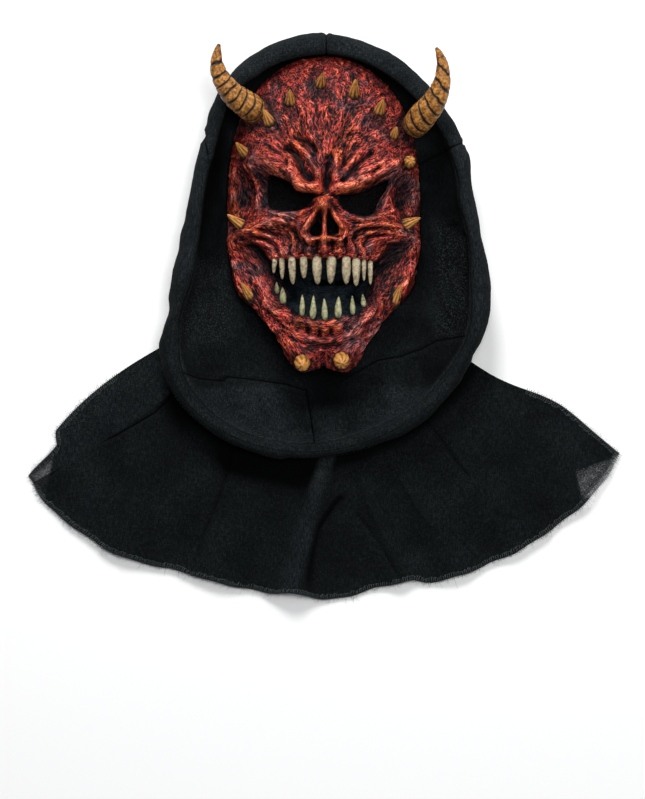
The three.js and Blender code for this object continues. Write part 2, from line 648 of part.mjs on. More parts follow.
// Start of the facing, inwards of and below the inner lip of the rim
const FACING_START_IN = 0.6;
const FACING_START_BELOW = 0.7;
function facingProfile(angle, row) {
  const folded = foldedAngle(Math.cos(radians(angle)), Math.sin(radians(angle)));
  const edge = facingEdgeHeight(folded);
  const ease = mix(EDGE_EASE, END_EASE, smooth(END_EASE_FROM, END_EASE_TO, Math.abs(folded)));
  const inner = faceWallRadius(folded, edge) + ease;
  const lip = hoodProfile(angle, HOOD_ROWS);
  const share = row / FACING_ROWS;
  const start = [lip[0] - FACING_START_IN, lip[1] - FACING_START_BELOW];
  // At the crown the face reaches under the rim, so there the facing turns outwards at once
  const across = inner > start[0] ? 1 - (1 - share) ** UNDERCUT_POWER : share;
  const sag = FACING_SAG * Math.sin(Math.PI * share);
  return [mix(start[0], inner, across), mix(start[1], edge, share) - sag];
}

function hoodFacing() {
  const skin = (offset) => (u, v) => {
    const angle = 360 * u;
    const row = Math.round(v * FACING_ROWS);
    const [radius, height] = offsetProfile(facingProfile, angle, row, FACING_ROWS, offset);
    return polarPoint(angle, radius, height);
  };
  return solidBetween(HOOD_COLUMNS, FACING_ROWS, skin(CLOTH_THICKNESS), skin(0), true);
}

// Cape: hem radius by angle, and the angles of its edges by radius
const hemRadius = curveThrough([
  [217.8, 337], [222.6, 340], [229.5, 337], [235.2, 332.5], [240.3, 325], [245.8, 318], [250.9, 315],
  [256.2, 313.3], [259.9, 314], [263, 311.4], [266.6, 311.6], [269.8, 315], [273.6, 313.7],
  [278.5, 309], [284.4, 308.2], [287.1, 314], [292.4, 319], [299.2, 320.5], [302.7, 323],
  [307.7, 325.5], [315, 327.8], [321.5, 328], [325.8, 326],
]);
const SEAM_TOP_RADIUS = 192;
const BACK_TOP_RADIUS = 180;
const CORNER_RADIUS = 338;
const shoulderSeamAngle = (radius) => 222.7 - 3.9 * clamp((radius - SEAM_TOP_RADIUS) / 130, 0, 1.1);
function backEdgeAngle(radius) {
  return 210 + 7 * clamp((radius - BACK_TOP_RADIUS) / (CORNER_RADIUS - BACK_TOP_RADIUS), 0, 1) ** 2;
}
const rightEdgeAngle = curveThrough([
  [165, 323.4], [188, 323.9], [206, 324.8], [232, 326.5], [251, 327.2], [268, 327.1], [295, 326.4],
  [325, 325.8],
]);
// The back layer stops a little short of the front one on the right
const BACK_RIGHT_SHORTER = 1.2;
const neckSeamHeight = curveThrough([
  [215, 7], [222, 8], [238, 15], [252, 21.5], [270, 22.5], [288, 21.5], [304, 15], [326, 8],
]);
// How quickly the cape drops from its neck seam to the table, and its clearance to the hood's wall
const CAPE_SETTLE = 1.6;
const FRONT_SEAM_EASE = 1.6;
// Folds that rise between two shares of the way from the neck seam to the hem
const FOLDS_START = 0.05;
const FOLDS_FULL = 0.45;
// Each fold: angle at the neck, angle at the hem, half-width, height
const CAPE_FOLDS = [
  [270.3, 264.6, 5, 13], [278.5, 283.4, 4, 6], [257, 250, 5, 5], [243, 236, 6, 6],
  [289, 293, 4, 4], [298, 304, 6, 5], [308, 316, 5, 5],
];

// Radius of the outside of the hood's wall at a low height
function hoodWallRadius(angle, height) {
  for (let row = 1; row < HOOD_ROWS; row += 1) {
    const [radius0, height0] = hoodProfile(angle, row);
    const [radius1, height1] = hoodProfile(angle, row + 1);
    if (height < height0 || height >= height1) continue;
    return mix(radius0, radius1, (height - height0) / (height1 - height0));
  }
  return hoodOuterRadius(angle);
}

const FRONT_UNDERSIDE = CLOTH_THICKNESS + PIECE_GAP;
function capeFrontPoint(u, v, thickness) {
  const neckAngle = mix(shoulderSeamAngle(SEAM_TOP_RADIUS), rightEdgeAngle(SEAM_TOP_RADIUS), u);
  const seam = neckSeamHeight(neckAngle);
  const start = hoodWallRadius(neckAngle, seam) + FRONT_SEAM_EASE;
  const hem = hemRadius(mix(shoulderSeamAngle(CORNER_RADIUS), rightEdgeAngle(CORNER_RADIUS), u));
  const radius = mix(start, hem, v);
  const angle = mix(shoulderSeamAngle(radius), rightEdgeAngle(radius), u);
  let height = FRONT_UNDERSIDE + (seam - FRONT_UNDERSIDE - CLOTH_THICKNESS) * (1 - v) ** CAPE_SETTLE;
  for (const [atNeck, atHem, halfWidth, rise] of CAPE_FOLDS) {
    const off = (angle - mix(atNeck, atHem, v)) / halfWidth;
    height += rise * Math.exp(-off * off) * smooth(FOLDS_START, FOLDS_FULL, v);
  }
  return polarPoint(angle, radius, height + thickness);
}

function capeFront() {
  const top = (u, v) => capeFrontPoint(u, v, CLOTH_THICKNESS);
  const bottom = (u, v) => capeFrontPoint(u, v, 0);
  return solidBetween(CAPE_COLUMNS, CAPE_ROWS, top, bottom);
}

const BACK_HEM_SHORTER = 3;
const BACK_SEAM_EASE = 4;
function capeBackPoint(u, v, height) {
  const rightAngle = (r) => rightEdgeAngle(r) - BACK_RIGHT_SHORTER;
  const neckAngle = mix(backEdgeAngle(BACK_TOP_RADIUS), rightAngle(BACK_TOP_RADIUS), u);
  const start = hoodOuterRadius(neckAngle) * HOOD_FOOT_SHARE + BACK_SEAM_EASE;
  const hemAngle = mix(backEdgeAngle(CORNER_RADIUS), rightAngle(CORNER_RADIUS), u);
  const hem = hemRadius(hemAngle) - BACK_HEM_SHORTER * smooth(0, 0.1, u);
  const radius = mix(start, hem, v);
  return polarPoint(mix(backEdgeAngle(radius), rightAngle(radius), u), radius, height);
}

const BACK_ROWS = 2;
function capeBack() {
  const top = (u, v) => capeBackPoint(u, v, CLOTH_THICKNESS);
  const bottom = (u, v) => capeBackPoint(u, v, 0);
  return solidBetween(CAPE_COLUMNS, BACK_ROWS, top, bottom);
}

const RED_LATEX = { color: 0x8e2420, roughness: 0.6 };
const OCHRE_LATEX = { color: 0xa8732f, roughness: 0.6 };
const BLACK_NET = { color: 0x141414, roughness: 0.9 };
const BLACK_GAUZE = { color: 0x17191a, roughness: 0.95 };

const part = new THREE.Group();
part.name = 'demon_mask';

function addPiece(name, geometry, look) {
  const mesh = new THREE.Mesh(geometry, new THREE.MeshStandardMaterial({ ...look, metalness: 0 }));
  geometry.computeVertexNormals();
  mesh.name = name;
  part.add(mesh);
}

addPiece('latex_face', latexFace(), RED_LATEX);
addPiece('horn_left', hornSolid(LEFT_HORN, 0, 0), OCHRE_LATEX);
addPiece('horn_right', hornSolid(RIGHT_HORN, 0, 0), OCHRE_LATEX);
addPiece('eye_net_left', eyeNet(LEFT_EYE), BLACK_NET);
addPiece('eye_net_right', eyeNet(RIGHT_EYE), BLACK_NET);
addPiece('hood', hood(), BLACK_GAUZE);
addPiece('hood_facing', hoodFacing(), BLACK_GAUZE);
addPiece('cape_front', capeFront(), BLACK_GAUZE);
addPiece('cape_back', capeBack(), BLACK_GAUZE);

export default part;
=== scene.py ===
import math

import bpy
import mathutils
import numpy as np
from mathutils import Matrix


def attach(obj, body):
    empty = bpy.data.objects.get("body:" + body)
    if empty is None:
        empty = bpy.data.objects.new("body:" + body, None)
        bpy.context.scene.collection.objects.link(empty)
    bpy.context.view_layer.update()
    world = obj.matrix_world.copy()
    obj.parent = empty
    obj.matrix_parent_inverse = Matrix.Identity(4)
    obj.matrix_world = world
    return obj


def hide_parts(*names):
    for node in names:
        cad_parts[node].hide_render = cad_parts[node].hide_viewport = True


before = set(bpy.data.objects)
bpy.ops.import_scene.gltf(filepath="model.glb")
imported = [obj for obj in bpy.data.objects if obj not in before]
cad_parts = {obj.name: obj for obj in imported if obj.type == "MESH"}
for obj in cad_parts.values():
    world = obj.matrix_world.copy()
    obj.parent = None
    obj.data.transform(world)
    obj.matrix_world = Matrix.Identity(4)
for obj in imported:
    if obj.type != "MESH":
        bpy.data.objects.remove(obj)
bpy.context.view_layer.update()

MM = 0.001
rng = np.random.default_rng(11)

# Camera: it looks straight down on the mask, as the photograph looks straight at the worn face
IMAGE_HEIGHT = 799
FACE_PLANE = 90.0
MM_PER_PIXEL = 0.88
CAMERA_DISTANCE = 2600.0
CAMERA_X = -1.3
CAMERA_Y = -73.5
SENSOR = 36.0
# Furthest distance that the camera sees, in metres
VIEW_REACH = 50

# Sizes shared with the solids, in millimetres
CENTRE_Y = 60.0
FACE_TOP_Z = 93.0
LATEX_WALL = 3.2
CLOTH = 0.7


def smooth(edge0, edge1, value):
    share = np.clip((np.asarray(value, float) - edge0) / (edge1 - edge0), 0, 1)
    return share * share * (3 - 2 * share)


def mix(a, b, share):
    return a + (b - a) * share


def curve_through(pairs, period=0):
    """A smooth curve through (key, value) pairs; it repeats every `period` when one is given."""
    pairs = [tuple(p) for p in pairs]
    if period:
        before = [(k - period, v) for k, v in pairs[-2:]]
        after = [(k + period, v) for k, v in pairs[:2]]
        pairs = before + pairs + after
    keys = np.array([k for k, _ in pairs], float)
    values = np.array([v for _, v in pairs], float)
    last = len(keys) - 1
    lower = np.maximum(np.arange(last + 1) - 1, 0)
    upper = np.minimum(np.arange(last + 1) + 1, last)
    slopes = (values[upper] - values[lower]) / (keys[upper] - keys[lower])

    def at(key):
        place = np.asarray(key, float)
        if period:
            place = np.mod(place, period)
        place = np.clip(place, keys[0], keys[-1])
        index = np.clip(np.searchsorted(keys, place, side="right") - 1, 0, last - 1)
        span = keys[index + 1] - keys[index]
        t = (place - keys[index]) / span
        return (
            (2 * t**3 - 3 * t**2 + 1) * values[index]
            + (t**3 - 2 * t**2 + t) * span * slopes[index]
            + (3 * t**2 - 2 * t**3) * values[index + 1]
            + (t**3 - t**2) * span * slopes[index + 1]
        )

    return at


# Seeded noise

class PlanNoise:
    """Smooth random values over the plan, from about -1 to 1, one bump every `cell` millimetres."""

    SIZE = 64
    OFFSET_X = 31.7
    OFFSET_Y = 17.3

    def __init__(self, cell):
        self.cell = cell
        self.grid = rng.uniform(-1, 1, (self.SIZE, self.SIZE))

    def __call__(self, x, y):
        gx = np.asarray(x, float) / self.cell + self.OFFSET_X
        gy = np.asarray(y, float) / self.cell + self.OFFSET_Y
        ix = np.floor(gx).astype(int)
        iy = np.floor(gy).astype(int)
        fx = gx - ix
        fy = gy - iy
        fx = fx * fx * (3 - 2 * fx)
        fy = fy * fy * (3 - 2 * fy)
        n = self.SIZE
        a = self.grid[iy % n, ix % n]
        b = self.grid[iy % n, (ix + 1) % n]
        c = self.grid[(iy + 1) % n, ix % n]
        d = self.grid[(iy + 1) % n, (ix + 1) % n]
        return mix(mix(a, b, fx), mix(c, d, fx), fy)


def layered_noise(x, y, *layers):
    """Sum of plan noises, each given as its cell and its weight."""
    return sum(PlanNoise(cell)(x, y) * weight for cell, weight in layers)


def blurred(picture, reach):
    """Box blur, twice each way, for rasters of the skin's texture."""
    for axis in (0, 1, 0, 1):
        total = np.cumsum(picture, axis=axis)
        picture = (np.roll(total, -reach, axis) - np.roll(total, reach + 1, axis)) / (2 * reach + 1)
    return picture


# Mesh building

def add_mesh(name, points, quads):
    """A smooth-shaded object from points in millimetres and an array of corner numbers."""
    points = np.asarray(points, np.float32)
    quads = np.asarray(quads, np.int32).reshape(-1, 4)
    mesh = bpy.data.meshes.new(name)
    mesh.vertices.add(len(points))
    mesh.vertices.foreach_set("co", (points * MM).ravel())
    mesh.loops.add(quads.size)
    mesh.loops.foreach_set("vertex_index", quads.ravel())
    mesh.polygons.add(len(quads))
    mesh.polygons.foreach_set("loop_start", np.arange(0, quads.size, 4, dtype=np.int32))
    mesh.update(calc_edges=True)
    mesh.validate()
    mesh.polygons.foreach_set("use_smooth", np.ones(len(mesh.polygons), bool))
    obj = bpy.data.objects.new(name, mesh)
    bpy.context.scene.collection.objects.link(obj)
    return obj


def set_attribute(obj, name, values):
    layer = obj.data.attributes.new(name, "FLOAT", "POINT")
    layer.data.foreach_set("value", np.asarray(values, np.float32))


def grid_quads(columns, rows, wrapped=False):
    """Corner numbers of a grid stored row by row; a wrapped grid has no repeated last column."""
    across = columns if wrapped else columns + 1
    column, row = np.meshgrid(np.arange(columns), np.arange(rows))
    column = column.ravel()
    row = row.ravel()
    beside = (column + 1) % across if wrapped else column + 1
    return np.stack([
        row * across + column,
        row * across + beside,
        (row + 1) * across + beside,
        (row + 1) * across + column,
    ], axis=1)


# Face outline and dome, as in the solids

face_radius_by_angle = curve_through([
    (-90, 104), (-79.6, 110.8), (-72.8, 104.7), (-66, 94), (-57, 85.4), (-43, 80.7), (-32, 84.9),
    (-22, 86.5), (-10, 85.3), (4, 87.2), (17, 90.3), (25, 96.2), (35, 105.2), (47, 121.8),
    (55.5, 137.2), (64.5, 153), (73.6, 165.6), (82, 173.4), (90, 176),
])
face_edge_height = curve_through([(-90, 60), (-75, 56), (-60, 45), (-45, 34), (-20, 26), (90, 24)])
face_rear_height = curve_through([(-90, 28), (-75, 26), (-55, 14), (-30, 4), (40, 4), (90, 8)])
face_fullness = curve_through([(-90, 0.85), (-60, 0.98), (-30, 1.1), (10, 1.12), (45, 0.95), (90, 0.8)])
REAR_INSET = 0.035
SIDE_START = 0.74
SIDE_SHARE = 0.87
EDGE_REACH = 0.94
LOWER_ROWS_SHARE = 0.4
SCULPT_FADE_START = 0.76
SCULPT_FADE_END = 0.92


def folded_angle(x, y):
    return np.degrees(np.arctan2(y, np.abs(x)))


def dome_rise(share, fullness):
    return np.cos(np.arcsin(np.clip(share, 0, 1) ** (1 / fullness))) ** fullness


def dome_point(disc_x, disc_y):
    reach = np.maximum(np.hypot(disc_x, disc_y), 1e-9)
    angle = folded_angle(disc_x, disc_y)
    edge = face_edge_height(angle)
    turned = SIDE_SHARE + (1 - SIDE_SHARE) * np.sin(
        np.pi / 2 * np.clip((reach - SIDE_START) / (EDGE_REACH - SIDE_START), 0, 1)
    )
    share = np.where(reach <= SIDE_START, reach * SIDE_SHARE / SIDE_START, turned)
    height = edge + (FACE_TOP_Z - edge) * dome_rise(share, face_fullness(angle))
    behind = np.clip((reach - EDGE_REACH) / (1 - EDGE_REACH), 0, 1)
    rear = reach > EDGE_REACH
    share = np.where(rear, 1 - REAR_INSET * behind**2, share)
    height = np.where(rear, mix(edge, face_rear_height(angle), behind), height)
    radius = face_radius_by_angle(angle) * share
    return np.stack([disc_x / reach * radius, CENTRE_Y + disc_y / reach * radius, height], axis=-1)


def dome_height(x, y):
    x = np.asarray(x, float)
    y = np.asarray(y, float)
    angle = folded_angle(x, y - CENTRE_Y)
    edge = face_edge_height(angle)
    share = np.hypot(x, y - CENTRE_Y) / face_radius_by_angle(angle)
    return edge + (FACE_TOP_Z - edge) * dome_rise(share, face_fullness(angle))


def face_grid(columns, rows):
    """Disc places of a square grid laid over the face."""
    u, v = np.meshgrid(np.linspace(0, 1, columns + 1), np.linspace(0, 1, rows + 1))
    x = 2 * u - 1
    upper = (v - LOWER_ROWS_SHARE) / (1 - LOWER_ROWS_SHARE)
    y = np.where(v < LOWER_ROWS_SHARE, v / LOWER_ROWS_SHARE - 1, upper)
    return (x * np.sqrt(1 - y * y / 2)).ravel(), (y * np.sqrt(1 - x * x / 2)).ravel()


def dome_normals(disc_x, disc_y):
    step = 1e-3
    along_x = dome_point(disc_x + step, disc_y) - dome_point(disc_x - step, disc_y)
    along_y = dome_point(disc_x, disc_y + step) - dome_point(disc_x, disc_y - step)
    normals = np.cross(along_x, along_y)
    return normals / np.linalg.norm(normals, axis=1, keepdims=True)


# Sculpted forms, as in the solids: on both sides or not, width, lift and path on the plan
FORMS = [
    (True, 10, 9, [(-54, 133), (-33, 122), (-21, 113), (-8, 109)]),
    (True, 6, 4, [(-24, 114), (-11, 108)]),
    (True, 17, 5, [(-48, 142), (-18, 126)]),
    (False, 4.5, -6, [(3, 140), (2, 108)]),
    (True, 5, -5, [(-36, 153), (-21, 140), (-16, 128), (-6, 118)]),
    (True, 4.5, -4, [(-22, 160), (-11, 148), (-5, 134)]),
    (False, 7, 7, [(0, 106), (0, 94)]),
    (True, 4.5, 8, [(-1, 97), (-10, 87), (-17, 74), (-12, 67), (0, 68)]),
    (True, 6, -9, [(-4, 87), (-7, 76)]),
    (False, 2.6, 8, [(0, 94), (0, 58)]),
    (True, 9, 8, [(-77, 69), (-64, 77), (-42, 85), (-21, 89)]),
    (True, 7, 4, [(-62, 68), (-42, 66), (-30, 58)]),
    (True, 8, -10, [(-65, 60), (-59, 46), (-50, 30), (-38, 16)]),
    (False, 15, -11, [(-46, 36), (-24, 26), (0, 22), (24, 26), (46, 36)]),
    (False, 7, 6, [(-44, 51), (-20, 57), (0, 58), (20, 57), (44, 51)]),
    (False, 8, 5, [(-46, 12), (-25, -3), (0, -8), (25, -3), (46, 12)]),
    (True, 9, 6, [(-77, 56), (-71, 32), (-52, 3), (-28, -22)]),
    (True, 10, 6, [(-17, -36), (-17, -40)]),
    (True, 6, 4, [(-59, 130), (-56, 112), (-60, 94)]),
    (True, 11, -8, [(-70, 118), (-71, 102)]),
    (True, 13, -10, [(-46, 108), (-31, 102), (-20, 96)]),
    (False, 15, 6, [(-60.7, 182), (-62, 183)]),
    (False, 15, 6, [(79.9, 169), (81, 170)]),
]

# Finer muscles, sinews and wrinkles
SINEWS = [
    # left cheek, from the cheekbone down to the gum
    (False, 1.9, 3.0, [(-37, 85), (-23, 79), (-18, 72), (-18, 61)]),
    (False, 1.9, 3.2, [(-45, 82), (-33, 77), (-26, 70), (-25, 58)]),
    (False, 2.0, 3.2, [(-61, 75), (-49, 73), (-38, 66), (-33, 55)]),
    (False, 2.2, 2.8, [(-69, 66), (-56, 66), (-46, 61), (-41, 52)]),
    (False, 2.0, 2.6, [(-69, 73), (-58, 79), (-42, 86), (-26, 86), (-18, 92)]),
    (False, 1.8, -2.6, [(-40, 80), (-28, 75), (-22, 66)]),
    (False, 1.8, -2.6, [(-52, 77), (-41, 71), (-34, 62)]),
    (False, 1.8, -2.4, [(-62, 70), (-50, 68), (-40, 58)]),
    # right cheek
    (False, 1.9, 3.0, [(22, 68), (25, 75), (33, 80), (50, 83), (63, 79)]),
    (False, 2.0, 3.2, [(28, 60), (31, 69), (39, 74), (52, 75), (66, 71)]),
    (False, 2.0, 3.0, [(37, 58), (43, 67), (52, 70), (63, 66)]),
    (False, 1.8, -2.6, [(27, 70), (33, 76), (46, 79)]),
    (False, 1.8, -2.6, [(34, 62), (38, 69), (50, 72)]),
    # rims under and beside the eyes
    (False, 2.2, 3.2, [(-4, 101), (-11, 95), (-20, 91), (-39, 90), (-52, 95)]),
    (False, 2.2, 3.2, [(10, 100), (20, 89), (33, 85), (46, 89), (59, 94)]),
    (False, 2.4, 3.0, [(-60, 124), (-60, 110), (-58, 96)]),
    (False, 2.6, 3.0, [(69, 128), (60, 116), (53, 100)]),
    (False, 3.4, 2.6, [(-80, 129), (-82, 110), (-78, 92)]),
    (False, 3.4, 2.6, [(82, 121), (84, 106), (79, 92)]),
    # inner brow lobes, hooked round over the nose bridge
    (False, 3.9, 6.4, [(-30, 128), (-25, 119), (-19, 112.5), (-11, 111), (-5.5, 114.5), (-4.5, 122)]),
    (False, 3.9, 6.4, [(36, 120), (28, 113.5), (19, 111), (12.5, 112), (9.5, 117), (9.5, 126)]),
    (False, 1.6, -4.0, [(3.5, 130), (2.5, 109)]),
    (False, 1.7, -4.5, [(-18, 103.5), (-9, 104.5), (-2, 106)]),
    (False, 1.7, -4.5, [(22, 102.5), (13, 103.5), (6.5, 105.5)]),
    (False, 3.2, 3.6, [(3, 143), (3, 138)]),
    # nose: thin rim, upper end of the hollows, septum
    (True, 1.7, 3.0, [(-2.5, 99), (-9, 88), (-16, 77), (-17, 71), (-12, 66.5), (-4, 68)]),
    (True, 2.2, -4.0, [(-3.2, 94), (-5.5, 87)]),
    (False, 1.5, 3.0, [(1.8, 96), (1, 84), (0, 70), (-0.5, 60)]),
    # forehead: left furrows and the folds between them
    (False, 2.5, -6.6, [(-34, 147), (-25, 142), (-20.5, 134), (-18, 125), (-12.5, 119.5)]),
    (False, 1.8, -3.4, [(-36, 128), (-31, 121), (-27, 115.5)]),
    (False, 1.9, -3.6, [(-22, 157), (-14, 154), (-7, 146)]),
    (False, 2.6, 3.6, [(-31, 154), (-24, 150), (-14, 141), (-8.5, 133), (-5, 123)]),
    (False, 2.2, 3.4, [(-34, 146), (-29.5, 141), (-27, 135), (-23, 124)]),
    (False, 1.8, -3.0, [(-47, 149), (-38, 142), (-32, 136), (-29.5, 125)]),
    (False, 2.2, 2.2, [(-60, 140), (-48, 136), (-38, 128)]),
    (False, 2.4, 2.4, [(-14, 162), (-5, 150), (0, 136)]),
    # forehead: right furrows and folds
    (False, 2.5, -6.6, [(41, 143), (35, 139), (29, 133), (22, 124), (16, 118.5)]),
    (False, 2.0, -3.6, [(19, 150), (18, 141), (18, 135)]),
    (False, 1.8, -2.8, [(43, 129), (34, 122)]),
    (False, 2.6, 3.2, [(10, 146), (11, 134), (9, 120)]),
    (False, 2.4, 3.0, [(46, 134), (38, 127), (31, 120)]),
    (False, 2.4, 3.0, [(31, 147), (26, 138), (19, 130), (13, 122)]),
    (False, 2.2, 2.2, [(60, 138), (50, 129), (42, 120)]),
    # long folds that spread up over the forehead
    (False, 3.6, 2.0, [(2, 184), (4, 160), (3, 144)]),
    (True, 3.0, 1.8, [(-15, 182), (-12, 168)]),
    (True, 3.0, 1.8, [(-34, 176), (-27, 164)]),
    (True, 3.4, 1.6, [(-52, 166), (-42, 156), (-34, 152)]),
    (True, 2.2, -2.0, [(-24, 180), (-20, 168)]),
    (True, 2.2, -1.8, [(-7, 182), (-6, 166)]),
    (True, 2.4, -1.8, [(-44, 170), (-35, 160)]),
    # jaw and chin
    (False, 2.6, 2.8, [(-71, 68), (-69, 55), (-62, 44), (-57, 28), (-51, 17), (-39, 5)]),
    (False, 2.6, 2.8, [(66, 60), (59, 50), (54, 33), (47, 17), (39, 5), (25, -10)]),
    (False, 2.4, 2.2, [(-76, 50), (-70, 26), (-56, 6), (-40, -10)]),
    (False, 2.4, 2.2, [(75, 48), (66, 24), (54, 4), (38, -14)]),
    (True, 2.2, -2.2, [(-73, 52), (-65, 30), (-50, 8), (-34, -8)]),
    (True, 2.6, 2.0, [(-62, 6), (-44, -12), (-30, -28)]),
    (True, 2.2, 1.8, [(-28, -12), (-14, -20), (0, -22)]),
    (True, 2.2, -1.6, [(-26, -20), (-14, -27), (0, -28)]),
    (False, 3.2, -3.0, [(-1, -34), (-1, -44)]),
    # pits under the lower teeth
    (False, 2.4, -3.6, [(-14, -10), (-14, -14)]),
    (False, 2.2, -3.6, [(-4, -13), (-4, -17)]),
    (False, 2.2, -3.6, [(6, -12), (6, -16)]),
    (False, 2.4, -3.2, [(19, -6), (18, -10)]),
    (False, 2.4, -3.0, [(-28, 5), (-26, 1)]),
    (False, 2.4, -3.0, [(31, 4), (29, 0)]),
    # gum lobes between the upper teeth and the slots between them
    (False, 1.8, 3.4, [(-32, 60), (-33, 52)]),
    (False, 1.8, 3.6, [(-23, 65), (-23.5, 51)]),
    (False, 1.8, 3.6, [(-11, 65), (-12.5, 51)]),
    (False, 1.8, 3.2, [(0.5, 60), (0.5, 49)]),
    (False, 1.8, 3.6, [(12, 65), (13, 51)]),
    (False, 1.8, 3.6, [(23, 65), (24.5, 51)]),
    (False, 1.8, 3.2, [(31, 60), (32, 52)]),
    (False, 1.4, -3.0, [(-27, 62), (-28, 54)]),
    (False, 1.4, -3.4, [(-17, 68), (-18, 55)]),
    (False, 1.4, -3.4, [(-6, 66), (-6, 55)]),
    (False, 1.4, -3.4, [(7, 66), (7, 55)]),
    (False, 1.4, -3.4, [(18, 68), (19, 55)]),
    (False, 1.4, -3.0, [(27, 62), (28, 54)]),
]


def nearest_on_segment(x, y, start, end):
    """For places on the plan: the share of the way along a segment, the point there and its distance."""
    ax, ay = start
    bx, by = end
    length_squared = (bx - ax) ** 2 + (by - ay) ** 2
    along = np.clip(((x - ax) * (bx - ax) + (y - ay) * (by - ay)) / length_squared, 0, 1)
    px = mix(ax, bx, along)
    py = mix(ay, by, along)
    return along, px, py, np.hypot(x - px, y - py)


def distance_to_path(x, y, path):
    """Distance of places on the plan to the nearest point of a path."""
    nearest = np.full(np.shape(x), np.inf)
    for start, end in zip(path, path[1:]):
        nearest = np.minimum(nearest, nearest_on_segment(x, y, start, end)[-1])
    return nearest


def near_path(x, y, path, width, power=2):
    """One on the path, falling to nothing over about `width` millimetres beside it."""
    return np.exp(-((distance_to_path(x, y, path) / width) ** power))


def swelling(x, y, forms):
    """Lift of sculpted forms over the plan."""
    lift = np.zeros(np.shape(x))
    for both, width, height, path in forms:
        distance = distance_to_path(x, y, path)
        if both:
            distance = np.minimum(distance, distance_to_path(-x, y, path))
        lift += height * np.exp(-((distance / width) ** 2))
    return lift


# Ways and distances in which the lining looks for the lowest form near it
LINING_WAYS = 8
LINING_PROBES = (4.5, 9.0)


def swelling_floor(x, y):
    """Lowest lift of the forms near each place, which the inside of the latex follows."""
    lowest = swelling(x, y, FORMS)
    for direction in range(LINING_WAYS):
        angle = 2 * math.pi * direction / LINING_WAYS
        for probe in LINING_PROBES:
            there = swelling(x + probe * math.cos(angle), y + probe * math.sin(angle), FORMS)
            lowest = np.minimum(lowest, there)
    return lowest


# Skin texture: strands that follow the forms, drawn on a raster over the plan
RASTER_STEP = 0.45
RASTER_LOW = (-98.0, -60.0)
RASTER_SIZE = (436, 668)
# Place between the brows from which the forehead's strands fan out
GLABELLA = (2.0, 106.0)
# How strongly a form turns the strands along itself, and how far beyond its width
STRAND_PULL = 1.6
STRAND_REACH = 3.0
# Cells of the raster over which broad swells are taken out of the streaks
STREAK_BLUR = 6


def strand_directions(x, y):
    """Direction of the strands, as the cosine and sine of twice the angle."""
    angle = np.arctan2(y - GLABELLA[1], x - GLABELLA[0])
    forehead = smooth(118, 134, y)
    c = forehead * np.cos(2 * angle)
    s = forehead * np.sin(2 * angle)
    down = (1 - forehead) * 0.5
    lean = np.arctan2(-(y - 30), x) + np.pi / 2
    c = c + down * np.cos(2 * lean)
    s = s + down * np.sin(2 * lean)
    for both, width, _, path in FORMS + SINEWS:
        for mirror in ((1, -1) if both else (1,)):
            for (ax, ay), (bx, by) in zip(path, path[1:]):
                distance = distance_to_path(x * mirror, y, [(ax, ay), (bx, by)])
                way = math.atan2(by - ay, (bx - ax) * mirror)
                weight = STRAND_PULL * np.exp(-((distance / (width + STRAND_REACH)) ** 2))
                c = c + weight * math.cos(2 * way)
                s = s + weight * math.sin(2 * way)
    wander = layered_noise(x, y, (9.0, 0.55), (4.0, 0.35))
    wild = smooth(176, 205, y) * 1.2 + smooth(62, 80, np.abs(x)) * 0.6
    turn = 0.5 * np.arctan2(s, c) + wander * (0.7 + wild)
    return np.cos(turn), np.sin(turn)


def streaks(way_x, way_y, reach, grain):
    """White noise smeared along the strand directions over `reach` millimetres each way."""
    height, width = way_x.shape
    noise = blurred(rng.normal(size=(height, width)), grain)
    total = noise.copy()
    steps = int(reach / RASTER_STEP)
    rows, columns = np.mgrid[0:height, 0:width].astype(float)
    for sign in (1, -1):
        r = rows.copy()
        c = columns.copy()
        ri = rows.astype(int)
        ci = columns.astype(int)
        last_x = way_x * sign
        last_y = way_y * sign
        for step in range(steps):
            vx = way_x[ri, ci]
            vy = way_y[ri, ci]
            flip = np.where(vx * last_x + vy * last_y < 0, -1, 1)
            last_x = vx * flip
            last_y = vy * flip
            c += last_x
            r += last_y
            ri = np.clip(r.round().astype(int), 0, height - 1)
            ci = np.clip(c.round().astype(int), 0, width - 1)
            fade = 0.5 + 0.5 * math.cos(math.pi * (step + 1) / (steps + 1))
            total += noise[ri, ci] * fade
    total -= blurred(total, STREAK_BLUR)
    return total / total.std()


def without_blur(picture, reach):
    """What stands above or below the picture's own blur."""
    return picture - blurred(picture, reach)


columns_at = RASTER_LOW[0] + RASTER_STEP * np.arange(RASTER_SIZE[0])
rows_at = RASTER_LOW[1] + RASTER_STEP * np.arange(RASTER_SIZE[1])
raster_x, raster_y = np.meshgrid(columns_at, rows_at)
way_x, way_y = strand_directions(raster_x, raster_y)
FINE_STRANDS = streaks(way_x, way_y, 5.0, 1)
BROAD_STRANDS = streaks(way_x, way_y, 9.0, 2)
FORM_HEIGHTS = swelling(raster_x, raster_y, FORMS) + swelling(raster_x, raster_y, SINEWS)
NARROW_HOLLOWS = without_blur(FORM_HEIGHTS, 5)
WIDE_HOLLOWS = without_blur(FORM_HEIGHTS, 16)


def from_raster(raster, x, y):
    """Values of a raster at places on the plan, blended between its cells."""
    c = np.clip((x - RASTER_LOW[0]) / RASTER_STEP, 0, RASTER_SIZE[0] - 1.001)
    r = np.clip((y - RASTER_LOW[1]) / RASTER_STEP, 0, RASTER_SIZE[1] - 1.001)
    ci = c.astype(int)
    ri = r.astype(int)
    fc = c - ci
    fr = r - ri
    top = mix(raster[ri, ci], raster[ri, ci + 1], fc)
    bottom = mix(raster[ri + 1, ci], raster[ri + 1, ci + 1], fc)
    return mix(top, bottom, fr)


# Openings, teeth and spikes, as in the solids

CORNER_CUTS = 2


